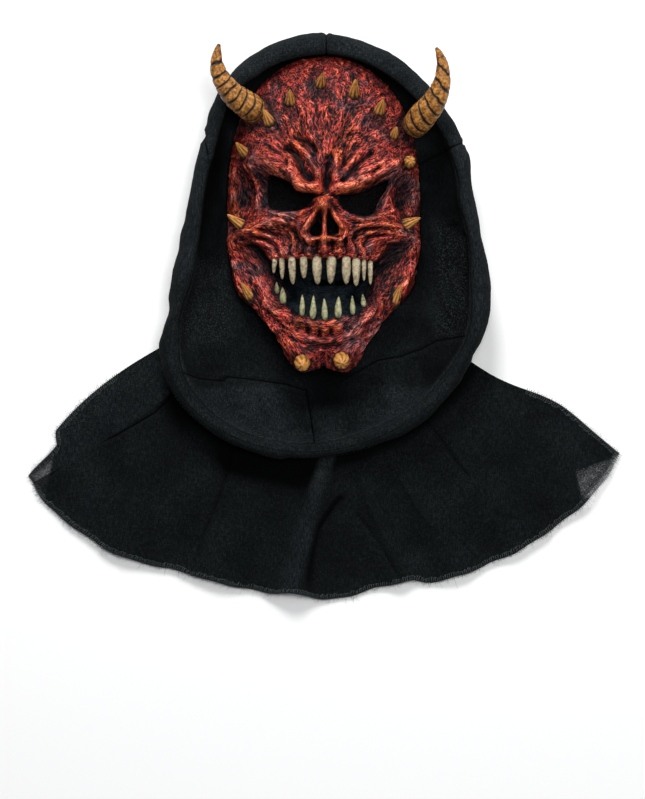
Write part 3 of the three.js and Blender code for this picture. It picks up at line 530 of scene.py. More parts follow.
def rounded(outline):
    """The outline with its corners cut off, over and over."""
    for _ in range(CORNER_CUTS):
        ends = outline[1:] + outline[:1]
        outline = [
            (mix(ax, bx, share), mix(ay, by, share))
            for (ax, ay), (bx, by) in zip(outline, ends)
            for share in (0.2, 0.8)
        ]
    return outline


LEFT_EYE = rounded([
    (-49, 125), (-40, 122), (-29, 117), (-24, 108), (-5, 106.5),
    (-14, 98), (-22, 93), (-36, 93), (-49, 95), (-50, 110),
])
RIGHT_EYE = rounded([
    (10, 106.5), (26, 106.5), (36, 110), (49, 117), (58, 121), (55, 112),
    (48, 102), (44, 90), (34, 87), (24, 90), (15, 97),
])
LEFT_NOSTRIL = rounded([(-2.2, 88), (-13.5, 75), (-10, 70), (-2.2, 71)])
RIGHT_NOSTRIL = rounded([(3.5, 89), (13, 79), (13, 72), (3.5, 75)])
MOUTH_SLOT = [(-14, 31), (-4, 27.5), (12, 27), (30, 29.5), (36, 32), (22, 32.5), (6, 30.5), (-6, 33)]
OPENINGS = [LEFT_EYE, RIGHT_EYE, LEFT_NOSTRIL, RIGHT_NOSTRIL, MOUTH_SLOT]

# Painted shadow round each nostril, wider than its opening
NOSTRIL_HOLLOWS = [
    [(-0.8, 96), (-6.7, 86), (-13, 77), (-12.8, 71.5), (-7.3, 70), (-1.5, 71)],
    [(3.0, 96), (7.5, 86), (13.5, 77), (13.2, 72), (8.1, 70), (2.6, 71)],
]

# Teeth: place of the root, width and length
UPPER_TEETH = [
    (-43.3, 51, 4.6, 13), (-36.9, 51.5, 5, 19), (-28.5, 52, 6.7, 24), (-18, 52, 6.7, 19),
    (-6.3, 52, 8.7, 24), (6.8, 52, 8.7, 23.5), (19.6, 52, 8.3, 24), (28.3, 51, 7.5, 24.5),
    (35.2, 50, 4.2, 19), (40.8, 49, 4.6, 21),
]
LOWER_TEETH = [
    (-41.6, 20, 4.5, 11), (-35.8, 11, 6.4, 15), (-19.2, 0, 5.2, 19), (-9.9, -3, 6, 21),
    (0.9, -4, 6, 19.5), (12.3, -2, 7, 19), (25.4, 1, 5.2, 17), (35.2, 8, 5, 12),
]
TOOTH_LEAN_BACK = 3

# Spikes: foot and tip on the plan, rise above the skin and radius
SPIKES = [
    ((-3.9, 202.8), (-1.1, 214.3), 13, 5.2), ((25.9, 192.5), (27.9, 209.1), 11, 5.6),
    ((-29.9, 186.3), (-29.9, 199.8), 12, 5.2), ((47.5, 179), (52.5, 191.5), 11, 5.4),
    ((-46.8, 168.6), (-53.1, 182.2), 10, 5.6), ((61.2, 158.2), (64.2, 167.6), 9, 4.4),
    ((75.6, 137.5), (77, 139), 12, 5.4), ((-67.6, 142.5), (-78, 154), 9, 5.2),
    ((-72.8, 81.4), (-85.9, 90.6), 9, 5.6), ((71.5, 81.4), (85.6, 87.6), 9, 5.8),
    ((-65.5, 18), (-73.4, 30.5), 10, 5.2), ((62.6, 13.6), (68.6, 28.2), 13, 5.4),
    ((-19.2, -40), (-19.2, -44), 15, 6.9), ((15.5, -38), (15.5, -42), 15, 7),
]

HORN_BASES = [(-60.7, 182.2), (79.9, 169)]


def signed_distance(x, y, outline):
    """Distance to a closed outline, negative inside it."""
    closed = list(outline) + [outline[0]]
    distance = distance_to_path(x, y, closed)
    inside = np.zeros(np.shape(x), bool)
    for (ax, ay), (bx, by) in zip(closed, closed[1:]):
        crosses = (ay > y) != (by > y)
        if ay != by:
            inside ^= crosses & (x < ax + (y - ay) * (bx - ax) / (by - ay))
    return np.where(inside, -distance, distance)


def nearest_on(x, y, outline):
    """Closest points of a closed outline."""
    closed = list(outline) + [outline[0]]
    best = np.full(np.shape(x), np.inf)
    at_x = np.array(x, float)
    at_y = np.array(y, float)
    for start, end in zip(closed, closed[1:]):
        _, px, py, distance = nearest_on_segment(x, y, start, end)
        closer = distance < best
        best = np.where(closer, distance, best)
        at_x = np.where(closer, px, at_x)
        at_y = np.where(closer, py, at_y)
    return at_x, at_y


def cut_openings(points, quads, outlines):
    """Snaps the grid to each outline and drops the faces within it."""
    points = points.copy()
    dropped = np.zeros(len(quads), bool)
    for outline in outlines:
        inside = signed_distance(points[:, 0], points[:, 1], outline) < 0
        corners_inside = inside[quads].sum(axis=1)
        dropped |= corners_inside == 4
        straddling = (corners_inside > 0) & (corners_inside < 4)
        border = np.zeros(len(points), bool)
        border[quads[straddling].ravel()] = True
        border &= inside
        px, py = nearest_on(points[border, 0], points[border, 1], outline)
        points[border, 0] = px
        points[border, 1] = py
        middles = points[quads].mean(axis=1)
        dropped |= straddling & (signed_distance(middles[:, 0], middles[:, 1], outline) < -0.1)
    return points, quads[~dropped]


# What the paint depends on, besides the place
PAINT_LOOKS = ("strand", "gloom", "tint", "warmth", "flow_cosine", "flow_sine")


class Piece:
    """Collected faces of one object: points, quads, material numbers and paint values."""

    def __init__(self):
        self.points = []
        self.quads = []
        self.materials = []
        self.looks = {}
        self.count = 0

    def add(self, points, quads, material, **looks):
        points = np.asarray(points, float)
        self.points.append(points)
        self.quads.append(np.asarray(quads) + self.count)
        self.materials.append(np.full(len(quads), material))
        for look in PAINT_LOOKS:
            values = np.broadcast_to(looks.get(look, 0.0), (len(points),))
            self.looks.setdefault(look, []).append(values.astype(float))
        self.count += len(points)

    def build(self, name, materials):
        obj = add_mesh(name, np.concatenate(self.points), np.concatenate(self.quads))
        for material in materials:
            obj.data.materials.append(material)
        obj.data.polygons.foreach_set("material_index", np.concatenate(self.materials).astype(np.int32))
        for look, parts in self.looks.items():
            set_attribute(obj, look, np.concatenate(parts))
        return obj


def swept_rings(middles, axes, radii, sides, shape=None):
    """Points and quads of a sweep; `shape(angle, along)` scales the radius round each ring."""
    middles = np.asarray(middles, float)
    axes = np.asarray(axes, float)
    axes = axes / np.linalg.norm(axes, axis=1, keepdims=True)
    across = np.cross(np.array([0, 0, 1.0]), axes)
    short = np.linalg.norm(across, axis=1) < 1e-3
    across[short] = (1, 0, 0)
    across /= np.linalg.norm(across, axis=1, keepdims=True)
    over = np.cross(axes, across)
    angles = 2 * np.pi * np.arange(sides) / sides
    along = np.linspace(0, 1, len(middles))
    radius = np.asarray(radii, float)[:, None] * np.ones(sides)
    if shape is not None:
        radius = radius * shape(angles[None, :], along[:, None])
    ring = (
        middles[:, None, :]
        + across[:, None, :] * (radius * np.cos(angles))[:, :, None]
        + over[:, None, :] * (radius * np.sin(angles))[:, :, None]
    )
    points = ring.reshape(-1, 3)
    quads = grid_quads(sides, len(middles) - 1, wrapped=True)
    return points, quads, np.repeat(along, sides), np.tile(angles, len(middles))


# Materials

def new_material(name):
    material = bpy.data.materials.new(name)
    material.use_nodes = True
    tree = material.node_tree
    return material, tree, tree.nodes["Principled BSDF"]


def attribute_value(tree, name):
    node = tree.nodes.new("ShaderNodeAttribute")
    node.attribute_name = name
    return node.outputs["Fac"]


def ramp_colour(tree, factor, stops):
    node = tree.nodes.new("ShaderNodeValToRGB")
    elements = node.color_ramp.elements
    while len(elements) < len(stops):
        elements.new(0.5)
    for element, (place, colour) in zip(elements, stops):
        element.position = place
        element.color = (*colour, 1)
    tree.links.new(factor, node.inputs["Fac"])
    return node.outputs["Color"]


def noise_through(tree, mapping, scale, detail, distortion):
    """Noise over the object's own coordinates, drawn out by a mapping."""
    place = tree.nodes.new("ShaderNodeTexCoord")
    node = tree.nodes.new("ShaderNodeTexNoise")
    node.inputs["Scale"].default_value = scale
    node.inputs["Detail"].default_value = detail
    node.inputs["Distortion"].default_value = distortion
    tree.links.new(place.outputs["Object"], mapping.inputs["Vector"])
    tree.links.new(mapping.outputs["Vector"], node.inputs["Vector"])
    return node.outputs["Fac"]


def noise_value(tree, scale, detail, distortion=0.0, stretch=(1.0, 1.0, 1.0)):
    mapping = tree.nodes.new("ShaderNodeMapping")
    mapping.inputs["Scale"].default_value = stretch
    return noise_through(tree, mapping, scale, detail, distortion)


# Fixed ways that the threads of paint run in, width of their gaps and the level that centres them
FLOW_WAYS = 6
FLOW_GAP = 0.13
THREAD_MEAN = 0.55


def filaments(tree, scale, stretch):
    """Thin wavy threads that run with the strands, low in the gaps between them.

    Each fixed way has its drawn-out noise, weighed by how closely the strands follow that way.
    """
    cosine = attribute_value(tree, "flow_cosine")
    sine = attribute_value(tree, "flow_sine")
    nearest_other = math.cos(2 * math.pi / FLOW_WAYS)
    total = 0.0
    for way in range(FLOW_WAYS):
        angle = math.pi * way / FLOW_WAYS
        from_sine = maths(tree, "MULTIPLY", sine, math.sin(2 * angle))
        match = maths(tree, "MULTIPLY_ADD", cosine, math.cos(2 * angle), from_sine)
        excess = maths(tree, "MAXIMUM", maths(tree, "SUBTRACT", match, nearest_other), 0.0)
        mapping = tree.nodes.new("ShaderNodeMapping")
        mapping.vector_type = "TEXTURE"
        mapping.inputs["Location"].default_value = (0.013 * way, 0.007 * way, 0)
        mapping.inputs["Rotation"].default_value = (0, 0, angle)
        mapping.inputs["Scale"].default_value = (stretch, 1, 1)
        noise = noise_through(tree, mapping, scale, 1.0, 0.35)
        off = maths(tree, "ABSOLUTE", maths(tree, "SUBTRACT", noise, 0.5))
        gap = maths(tree, "MULTIPLY", maths(tree, "MINIMUM", off, FLOW_GAP), -1 / FLOW_GAP)
        thread_here = maths(tree, "ADD", gap, THREAD_MEAN)
        weight = maths(tree, "MULTIPLY", excess, 1 / (1 - nearest_other))
        total = maths(tree, "MULTIPLY_ADD", thread_here, weight, total)
    return total


def mix_colours(tree, factor, first, second):
    """The first colour at factor nought, the second at one."""
    node = tree.nodes.new("ShaderNodeMix")
    node.data_type = "RGBA"
    for label, value in (("Factor", factor), ("A", first), ("B", second)):
        if isinstance(value, bpy.types.NodeSocket):
            tree.links.new(value, node.inputs[label])
        else:
            node.inputs[label].default_value = (*value, 1)
    return [socket for socket in node.outputs if socket.type == "RGBA"][0]


def maths(tree, operation, first, second=0.0, third=0.0):
    node = tree.nodes.new("ShaderNodeMath")
    node.operation = operation
    for socket, value in zip(node.inputs, (first, second, third)):
        if isinstance(value, bpy.types.NodeSocket):
            tree.links.new(value, socket)
        else:
            socket.default_value = value
    return node.outputs["Value"]


def add_bump(tree, shader, height, strength, distance):
    bump = tree.nodes.new("ShaderNodeBump")
    bump.inputs["Strength"].default_value = strength
    bump.inputs["Distance"].default_value = distance
    tree.links.new(height, bump.inputs["Height"])
    tree.links.new(bump.outputs["Normal"], shader.inputs["Normal"])


def set_surface(tree, shader, colour, roughness, shine):
    tree.links.new(colour, shader.inputs["Base Color"])
    shader.inputs["Roughness"].default_value = roughness
    shader.inputs["Specular IOR Level"].default_value = shine


def painted_skin():
    """Red, orange and mauve paint over a black ground, combed along the strands."""
    material, tree, shader = new_material("painted_skin")
    strand = attribute_value(tree, "strand")
    gloom = attribute_value(tree, "gloom")
    tint = attribute_value(tree, "tint")
    warmth = attribute_value(tree, "warmth")
    threads = filaments(tree, 470.0, 4.5)
    grain = noise_value(tree, 1300.0, 2.0)
    swirl = maths(tree, "MULTIPLY_ADD", threads, 0.48, maths(tree, "ADD", strand, 0.01))
    height = maths(tree, "MULTIPLY_ADD", grain, 0.5, maths(tree, "SUBTRACT", swirl, 0.25))
    skin = ramp_colour(tree, height, [
        (0.20, (0.003, 0.006, 0.007)),
        (0.37, (0.015, 0.008, 0.009)),
        (0.50, (0.120, 0.011, 0.011)),
        (0.66, (0.38, 0.027, 0.021)),
        (0.84, (0.68, 0.092, 0.056)),
        (1.00, (0.88, 0.30, 0.21)),
    ])
    orange = ramp_colour(tree, height, [
        (0.20, (0.004, 0.005, 0.005)),
        (0.36, (0.024, 0.011, 0.008)),
        (0.50, (0.15, 0.016, 0.009)),
        (0.66, (0.43, 0.052, 0.018)),
        (0.84, (0.74, 0.135, 0.042)),
        (1.00, (0.90, 0.32, 0.16)),
    ])
    mauve = ramp_colour(tree, height, [
        (0.22, (0.006, 0.008, 0.012)),
        (0.50, (0.062, 0.022, 0.027)),
        (0.78, (0.24, 0.075, 0.076)),
        (1.00, (0.62, 0.36, 0.32)),
    ])
    black = ramp_colour(tree, height, [
        (0.25, (0.0012, 0.0022, 0.0034)),
        (0.95, (0.0085, 0.0130, 0.0170)),
    ])
    warmed = mix_colours(tree, warmth, skin, orange)
    toned = mix_colours(tree, tint, warmed, mauve)
    # Painted shade and the paint's own dark tone mix the colour toward near black
    shaded = mix_colours(tree, gloom, toned, black)
    tree.links.new(shaded, shader.inputs["Base Color"])
    shader.inputs["Roughness"].default_value = 0.5
    unshaded = maths(tree, "SUBTRACT", 1.0, gloom)
    shine = maths(tree, "MULTIPLY", unshaded, maths(tree, "MINIMUM", swirl, 1.0))
    tree.links.new(maths(tree, "MULTIPLY_ADD", shine, 0.28, 0.04), shader.inputs["Specular IOR Level"])
    add_bump(tree, shader, swirl, 0.9, 0.0008)
    return material


def painted_horn(name, pale, mid, dark):
    """Streaky paint from dark to pale, mixed to near black by painted shade in grooves and on flanks and by
    darker tone.
    """
    material, tree, shader = new_material(name)
    strand = attribute_value(tree, "strand")
    gloom = attribute_value(tree, "gloom")
    grain = noise_value(tree, 520.0, 4.0, 0.6)
    height = maths(tree, "MULTIPLY_ADD", grain, 1.1, maths(tree, "SUBTRACT", strand, 0.55))
    body = ramp_colour(tree, height, [(0.15, dark), (0.5, mid), (0.9, pale)])
    shaded = mix_colours(tree, gloom, body, (0.005, 0.005, 0.006))
    set_surface(tree, shader, shaded, 0.5, 0.25)
    add_bump(tree, shader, grain, 0.4, 0.0008)
    return material


def falling(tree, value, start, end):
    """One up to `start`, zero from `end` on, smooth between."""
    node = tree.nodes.new("ShaderNodeMapRange")
    node.interpolation_type = "SMOOTHSTEP"
    node.inputs["From Min"].default_value = start
    node.inputs["From Max"].default_value = end
    node.inputs["To Min"].default_value = 1.0
    node.inputs["To Max"].default_value = 0.0
    tree.links.new(value, node.inputs["Value"])
    return node.outputs["Result"]


def gauze(name, sheer=False):
    """Black crinkled gauze, dimmed by painted shade and darker tone, with thin lines of painted shade along
    its seams and creases and, if sheer, gaps that the floor shows through.
    """
    material, tree, shader = new_material(name)
    warp = noise_value(tree, 1300.0, 1.0, 0.0, (1.0, 0.16, 1.0))
    weft = noise_value(tree, 1300.0, 1.0, 0.0, (0.18, 1.0, 1.0))
    cloud = noise_value(tree, 24.0, 3.0)
    fuzz = noise_value(tree, 820.0, 2.0)
    weave = maths(tree, "MULTIPLY_ADD", weft, 0.7, warp)
    total = maths(tree, "MULTIPLY_ADD", fuzz, 0.6, maths(tree, "MULTIPLY_ADD", cloud, 0.5, weave))
    tone = maths(tree, "MULTIPLY", total, 0.5)
    plain = ramp_colour(tree, tone, [
        (0.54, (0.0034, 0.0046, 0.0052)),
        (0.70, (0.0088, 0.0114, 0.0127)),
        (0.88, (0.0240, 0.0292, 0.0310)),
    ])
    open_weave = attribute_value(tree, "open_weave")
    dots = falling(tree, fuzz, 0.66, 0.54)
    dotted = maths(tree, "MULTIPLY", dots, open_weave)
    gloom = attribute_value(tree, "gloom")
    # Painted shade and darker tone dim the cloth toward black
    dimmed = mix_colours(tree, gloom, plain, (0.0006, 0.0008, 0.0009))
    speckled = mix_colours(tree, dotted, dimmed, (0.024, 0.028, 0.029))
    seam = attribute_value(tree, "seam")
    near_seam = attribute_value(tree, "near_seam")
    wavering = maths(tree, "MULTIPLY_ADD", maths(tree, "SUBTRACT", fuzz, 0.5), 0.9, seam)
    on_line = falling(tree, maths(tree, "ABSOLUTE", wavering), 0.25, 1.0)
    line = maths(tree, "MULTIPLY", on_line, near_seam)
    # A thin line of painted shade along each seam and crease
    seam_shade = maths(tree, "MULTIPLY", line, 0.92)
    colour = mix_colours(tree, seam_shade, speckled, (0.0005, 0.0006, 0.0007))
    set_surface(tree, shader, colour, 0.95, 0.05)
    add_bump(tree, shader, maths(tree, "MULTIPLY_ADD", line, -2.5, weave), 0.4, 0.0005)
    if sheer:
        clear = attribute_value(tree, "sheer")
        gaps = maths(tree, "MULTIPLY_ADD", fuzz, 1.4, -0.06)
        alpha = maths(tree, "SUBTRACT", 1.0, maths(tree, "MULTIPLY", clear, gaps))
        tree.links.new(alpha, shader.inputs["Alpha"])
    return material


def thread(name, colour, shine):
    """Dull thread or bare rubber, flecked with a darker shade."""
    material, tree, shader = new_material(name)
    fuzz = noise_value(tree, 500.0, 2.0)
    darker = tuple(0.4 * part for part in colour)
    body = ramp_colour(tree, fuzz, [(0.35, darker), (0.65, colour)])
    set_surface(tree, shader, body, 0.95, shine)
    return material


SKIN = painted_skin()
OCHRE = painted_horn("ochre_latex", (0.60, 0.275, 0.070), (0.235, 0.094, 0.018), (0.014, 0.008, 0.005))
UPPER_BONE = painted_horn("upper_bone", (0.56, 0.465, 0.31), (0.34, 0.275, 0.175), (0.05, 0.04, 0.025))
LOWER_BONE = painted_horn("lower_bone", (0.40, 0.385, 0.225), (0.23, 0.225, 0.115), (0.04, 0.04, 0.022))
GAUZE = gauze("black_gauze")
SHEER_GAUZE = gauze("black_gauze_cape", sheer=True)
NET = thread("black_net", (0.017, 0.0145, 0.014), 0.0)
STITCH = thread("black_thread", (0.016, 0.018, 0.019), 0.1)
HEM = thread("hem_thread", (0.090, 0.102, 0.105), 0.1)
INSIDE_LATEX = thread("bare_latex", (0.02, 0.018, 0.017), 0.1)


# Latex face: skin, lining, opening walls, teeth and spikes in one casting

MOUTH_REGION = [
    (-64, 62), (-57, 60), (-50, 51), (-44, 49), (-20, 51), (0, 52), (20, 51), (44, 49), (52, 52),
    (60, 58), (66, 61), (58, 45), (50, 26), (40, 10), (28, 0), (10, -4), (-10, -4), (-25, 0),
    (-38, 10), (-48, 23), (-56, 40),
]
# Paths of painted shade: the hollow under each cheekbone and the outer corners of the eye sockets
CHEEK_HOLLOW = [(-65, 60), (-58, 46), (-49, 28), (-40, 14)]
LEFT_EYE_CORNER = [(-54, 128), (-52.5, 112), (-53, 97)]
RIGHT_EYE_CORNER = [(60, 123), (52, 108), (50, 97)]
# Radius and width of the dark ring that is painted round each horn
HORN_RING = (14.5, 4.5)

# Where the red turns to orange: brow, nose, cheekbones, gums and chin
ORANGE_AREAS = [
    [(-46, 128), (-35, 121), (-26, 114), (-18, 109), (-8, 107.5)],
    [(46, 117), (36, 111), (27, 108.5), (17, 107)],
    [(0, 106), (0, 94)],
    [(0, 94), (-14, 76), (-10, 67), (10, 67), (14, 77), (0, 94)],
    [(-58, 76), (-38, 80), (-24, 70)],
    [(26, 72), (44, 79), (62, 77)],
    [(-22, -6), (0, -12), (24, -4)],
    [(22, 172), (16, 156), (12, 140)],
    [(-24, 168), (-20, 152)],
    [(-80, 108), (-80, 96)],
]
ORANGE_REACH = 6.0


def skin_values(x, y):
    """Strand relief, paint value, darkness and tints of the painted skin over the plan."""
    fine = np.tanh(1.5 * from_raster(FINE_STRANDS, x, y))
    broad = np.tanh(1.1 * from_raster(BROAD_STRANDS, x, y))
    relief = 0.72 * fine + 0.62 * broad
    narrow = from_raster(NARROW_HOLLOWS, x, y)
    wide = from_raster(WIDE_HOLLOWS, x, y)
    mouth = signed_distance(x, y, MOUTH_REGION)
    in_mouth = 1 - smooth(-2.6, 1.4, mouth + 2.2 * PlanNoise(3.4)(x, y))
    eyes = np.minimum(signed_distance(x, y, LEFT_EYE), signed_distance(x, y, RIGHT_EYE))
    under_eye = np.maximum(smooth(106, 97, y), smooth(45, 52, np.abs(x)))
    by_eye = 1 - smooth(0.0, mix(0.7, 5.0, under_eye * smooth(12, 30, np.abs(x))), eyes)
    left_corner = near_path(x, y, LEFT_EYE_CORNER, 4.4)
    right_corner = near_path(x, y, RIGHT_EYE_CORNER, 4.0)
    nostrils = np.minimum.reduce([signed_distance(x, y, hollow) for hollow in NOSTRIL_HOLLOWS])
    by_nostril = 1 - smooth(-1.2, 0.8, nostrils)
    temple = np.exp(-((np.hypot((np.abs(x) - 75) / 6.5, (y - 108) / 17)) ** 4))
    cheek = near_path(-np.abs(x), y, CHEEK_HOLLOW, np.where(x > 0, 8.5, 6.5))
    furrow = smooth(-0.5, -2.2, narrow)
    deep = smooth(-1.6, -6.0, wide)
    # Painted shade round the eyes and in their outer corners, in the nostrils, temples, cheek hollows,
    # furrows and wide hollows; the mouth's hollow is darkened to near black, and random dark patches and
    # the dark rings round the spikes' and horns' feet are the paint's own tone
    gloom = np.maximum.reduce([
        in_mouth, 0.9 * by_eye, 0.94 * left_corner, 0.6 * right_corner, 0.92 * by_nostril, 0.9 * temple,
        0.93 * cheek, 0.92 * furrow, 0.6 * deep,
    ])
    patches = smooth(0.08, 0.52, layered_noise(x, y, (11.0, 0.7), (5.0, 0.55)))
    gloom = np.maximum(gloom, 0.68 * patches)
    for (base_x, base_y), _, _, radius in SPIKES:
        spread = 1.8 + 1.6 * smooth(-0.2, 0.8, PlanNoise(4.0)(x, y))
        ring = np.exp(-(((np.hypot(x - base_x, y - base_y) - radius - 0.4) / spread) ** 2))
        gloom = np.maximum(gloom, 0.85 * ring)
    for base_x, base_y in HORN_BASES:
        ring = np.exp(-(((np.hypot(x - base_x, y - base_y) - HORN_RING[0]) / HORN_RING[1]) ** 2))
        gloom = np.maximum(gloom, 0.9 * ring)
    paint = 0.512 + 0.32 * relief + 0.095 * np.clip(narrow, -2, 1.2) + 0.020 * np.clip(wide, -6, 5)
    # Painted shade on the right side of the jaw
    paint -= 0.10 * smooth(44, 62, x) * smooth(64, 44, y)
    paint -= 0.04 * smooth(135, 175, y)
    tint = smooth(0.05, 0.70, layered_noise(x, y, (16.0, 0.8), (6.0, 0.4))) * 0.8
    tint = np.maximum(tint, 0.65 * np.maximum(left_corner, right_corner))
    warmth = np.zeros(np.shape(x))
    for path in ORANGE_AREAS:
        warmth = np.maximum(warmth, near_path(x, y, path, ORANGE_REACH))
    warmth = np.clip(0.16 + 0.80 * warmth + 0.40 * PlanNoise(7.0)(x, y), 0, 1)
    return relief, paint, in_mouth, gloom, tint, warmth


STRAND_HEIGHT = 1.0
OUTER_GRID = (230, 336)
LINING_GRID = (76, 110)
# Disc places between which the face turns to its plain side, which is darkened with painted shade
SIDE_TURN = (0.90, 0.97)
# Lowest height of the skin, just clear of the hood's back panel
SKIN_FLOOR = 2.6

face_materials = [SKIN, UPPER_BONE, LOWER_BONE, INSIDE_LATEX, OCHRE]
SKIN_SLOT, UPPER_SLOT, LOWER_SLOT, INSIDE_SLOT, OCHRE_SLOT = range(len(face_materials))

face = Piece()

disc_x, disc_y = face_grid(*OUTER_GRID)
skin_points = dome_point(disc_x, disc_y)
skin_normals = dome_normals(disc_x, disc_y)
plan_x = skin_points[:, 0]
plan_y = skin_points[:, 1]
reach = np.hypot(disc_x, disc_y)
fade = 1 - smooth(SCULPT_FADE_START, SCULPT_FADE_END, reach)
relief, paint, in_mouth, gloom, tint, warmth = skin_values(plan_x, plan_y)
flow_cosine = from_raster(way_x**2 - way_y**2, plan_x, plan_y)
flow_sine = from_raster(2 * way_x * way_y, plan_x, plan_y)
sinews = swelling(plan_x, plan_y, SINEWS) * (1 - in_mouth)
strands = STRAND_HEIGHT * relief * (1 - 0.75 * in_mouth)
edge_fade = 1 - 0.6 * smooth(*SIDE_TURN, reach)
lift = (swelling(plan_x, plan_y, FORMS) + sinews) * fade + strands * edge_fade
skin_points = skin_points + skin_normals * lift[:, None]
skin_points[:, 2] = np.maximum(skin_points[:, 2], SKIN_FLOOR)
skin_points, skin_quads = cut_openings(skin_points, grid_quads(*OUTER_GRID), OPENINGS)
# Painted shade towards the face's sides
side_shade = 0.55 * smooth(*SIDE_TURN, reach)
face.add(
    skin_points, skin_quads, SKIN_SLOT,
    strand=np.clip(paint, 0, 1),
    gloom=np.maximum(gloom, side_shade),
    tint=tint,
    warmth=warmth,
    flow_cosine=flow_cosine,
    flow_sine=flow_sine,
)

disc_x, disc_y = face_grid(*LINING_GRID)
lining = dome_point(disc_x, disc_y)
lining_fade = 1 - smooth(SCULPT_FADE_START, SCULPT_FADE_END, np.hypot(disc_x, disc_y))
lining_lift = swelling_floor(lining[:, 0], lining[:, 1]) * lining_fade - LATEX_WALL
lining = lining + dome_normals(disc_x, disc_y) * lining_lift[:, None]
lining, lining_quads = cut_openings(lining, grid_quads(*LINING_GRID), OPENINGS)
face.add(lining, lining_quads[:, ::-1], INSIDE_SLOT, strand=0.2)


def border_loop(columns, rows):
    """Corner numbers round the edge of a grid."""
    across = columns + 1
    return np.concatenate([
        np.arange(columns),
        np.arange(rows) * across + columns,
        rows * across + np.arange(columns, 0, -1),
        np.arange(rows, 0, -1) * across,
    ])


def nearest_heights(x, y, points):
    """Height of the closest of some points to each place on the plan."""
    gaps = (points[None, :, 0] - x[:, None]) ** 2 + (points[None, :, 1] - y[:, None]) ** 2
    return points[gaps.argmin(axis=1), 2]


def walk_outline(outline, step):
    """Points along a closed outline, about `step` apart."""
    closed = np.array(list(outline) + [outline[0]], float)
    lengths = np.hypot(*np.diff(closed, axis=0).T)
    total = np.concatenate([[0], np.cumsum(lengths)])
    places = np.arange(0, total[-1], step)
    return np.interp(places, total, closed[:, 0]), np.interp(places, total, closed[:, 1])


# Rear edge between skin and lining
RIM_STEPS = 400
outer_edge = skin_points[border_loop(*OUTER_GRID)]
inner_edge = lining[border_loop(*LINING_GRID)]
outer_angle = np.unwrap(np.arctan2(outer_edge[:, 1] - CENTRE_Y, outer_edge[:, 0]))
inner_angle = np.unwrap(np.arctan2(inner_edge[:, 1] - CENTRE_Y, inner_edge[:, 0]))
turns = np.linspace(0, 2 * np.pi, RIM_STEPS, endpoint=False) + outer_angle[0]


def edge_at(angles, edge, turns):
    """Points of an edge at other angles than its own."""
    order = np.argsort(np.mod(angles, 2 * np.pi))
    keys = np.mod(angles, 2 * np.pi)[order]
    where = np.mod(turns, 2 * np.pi)
    return np.stack([np.interp(where, keys, values, period=2 * np.pi) for values in edge[order].T], axis=1)


rim_points = np.concatenate([
    edge_at(outer_angle, outer_edge, turns),
    edge_at(inner_angle, inner_edge, turns),
])
face.add(rim_points, grid_quads(RIM_STEPS, 1, wrapped=True)[:, ::-1], INSIDE_SLOT, strand=0.2)

for outline in OPENINGS:
    wall_x, wall_y = walk_outline(outline, 1.0)
    near_skin = skin_points[signed_distance(skin_points[:, 0], skin_points[:, 1], outline) < 3.0]
    near_lining = lining[signed_distance(lining[:, 0], lining[:, 1], outline) < 8.0]
    top = nearest_heights(wall_x, wall_y, near_skin)
    bottom = nearest_heights(wall_x, wall_y, near_lining) - 0.2
    wall = np.concatenate([np.stack([wall_x, wall_y, top], 1), np.stack([wall_x, wall_y, bottom], 1)])
    # The walls of the openings are painted near black as shade
    face.add(wall, grid_quads(len(wall_x), 1, wrapped=True), SKIN_SLOT, strand=0.25, gloom=0.9)


def form_height(x, y):
    return dome_height(x, y) + swelling(x, y, FORMS)


UPPER_TOOTH = curve_through([
    (0, 0.58), (0.06, 0.88), (0.20, 1.0), (0.45, 0.96), (0.68, 0.82), (0.86, 0.62), (0.96, 0.42), (1, 0.10),
])
LOWER_TOOTH = curve_through([
    (0, 0.40), (0.08, 0.78), (0.25, 1.0), (0.45, 0.94), (0.68, 0.68), (0.86, 0.42), (0.96, 0.22), (1, 0.05),
])
TOOTH_STATIONS = 18
TOOTH_SIDES = 16


def add_tooth(tooth, direction, material):
    """A knobbly tooth from its root up or down the plan, which `direction` tells."""
    root_x, root_y, width, length = tooth
    root = np.array([root_x, root_y, form_height(root_x, root_y)])
    tip_y = root_y + direction * length
    tip_z = max(root[2] - TOOTH_LEAN_BACK, float(form_height(root_x, tip_y)) + width / 2)
    sway = rng.uniform(-1.3, 1.3)
    tip = np.array([root_x + sway, tip_y, tip_z])
    along = np.linspace(0, 1, TOOTH_STATIONS)
    middles = root + (tip - root) * along[:, None]
    middles[:, 2] += 0.8 + 1.2 * np.sin(np.pi * along)
    shape = UPPER_TOOTH if direction < 0 else LOWER_TOOTH
    radii = width / 2 * shape(along)
    bumpy = PlanNoise(1.7)

    def knobs(angle, place):
        return 1 + 0.11 * bumpy(angle * 3 + root_x, place * 9 + root_y)

    axes = np.gradient(middles, axis=0)
    points, quads, places, angles = swept_rings(middles, axes, radii, TOOTH_SIDES, knobs)
    root_dark = (1 - smooth(0.0, 0.10, places)) * 0.7
    # Painted shade on each tooth's left and right flanks, which outlines it
    outline_shade = 0.9 * smooth(0.86, 1.0, np.abs(np.cos(angles)))
    paint = 0.57 + 0.26 * PlanNoise(1.6)(points[:, 0], points[:, 1])
    face.add(points, quads, material, strand=paint, gloom=np.maximum(root_dark, outline_shade))


for tooth in UPPER_TEETH:
    add_tooth(tooth, -1, UPPER_SLOT)
for tooth in LOWER_TEETH:
    add_tooth(tooth, 1, LOWER_SLOT)


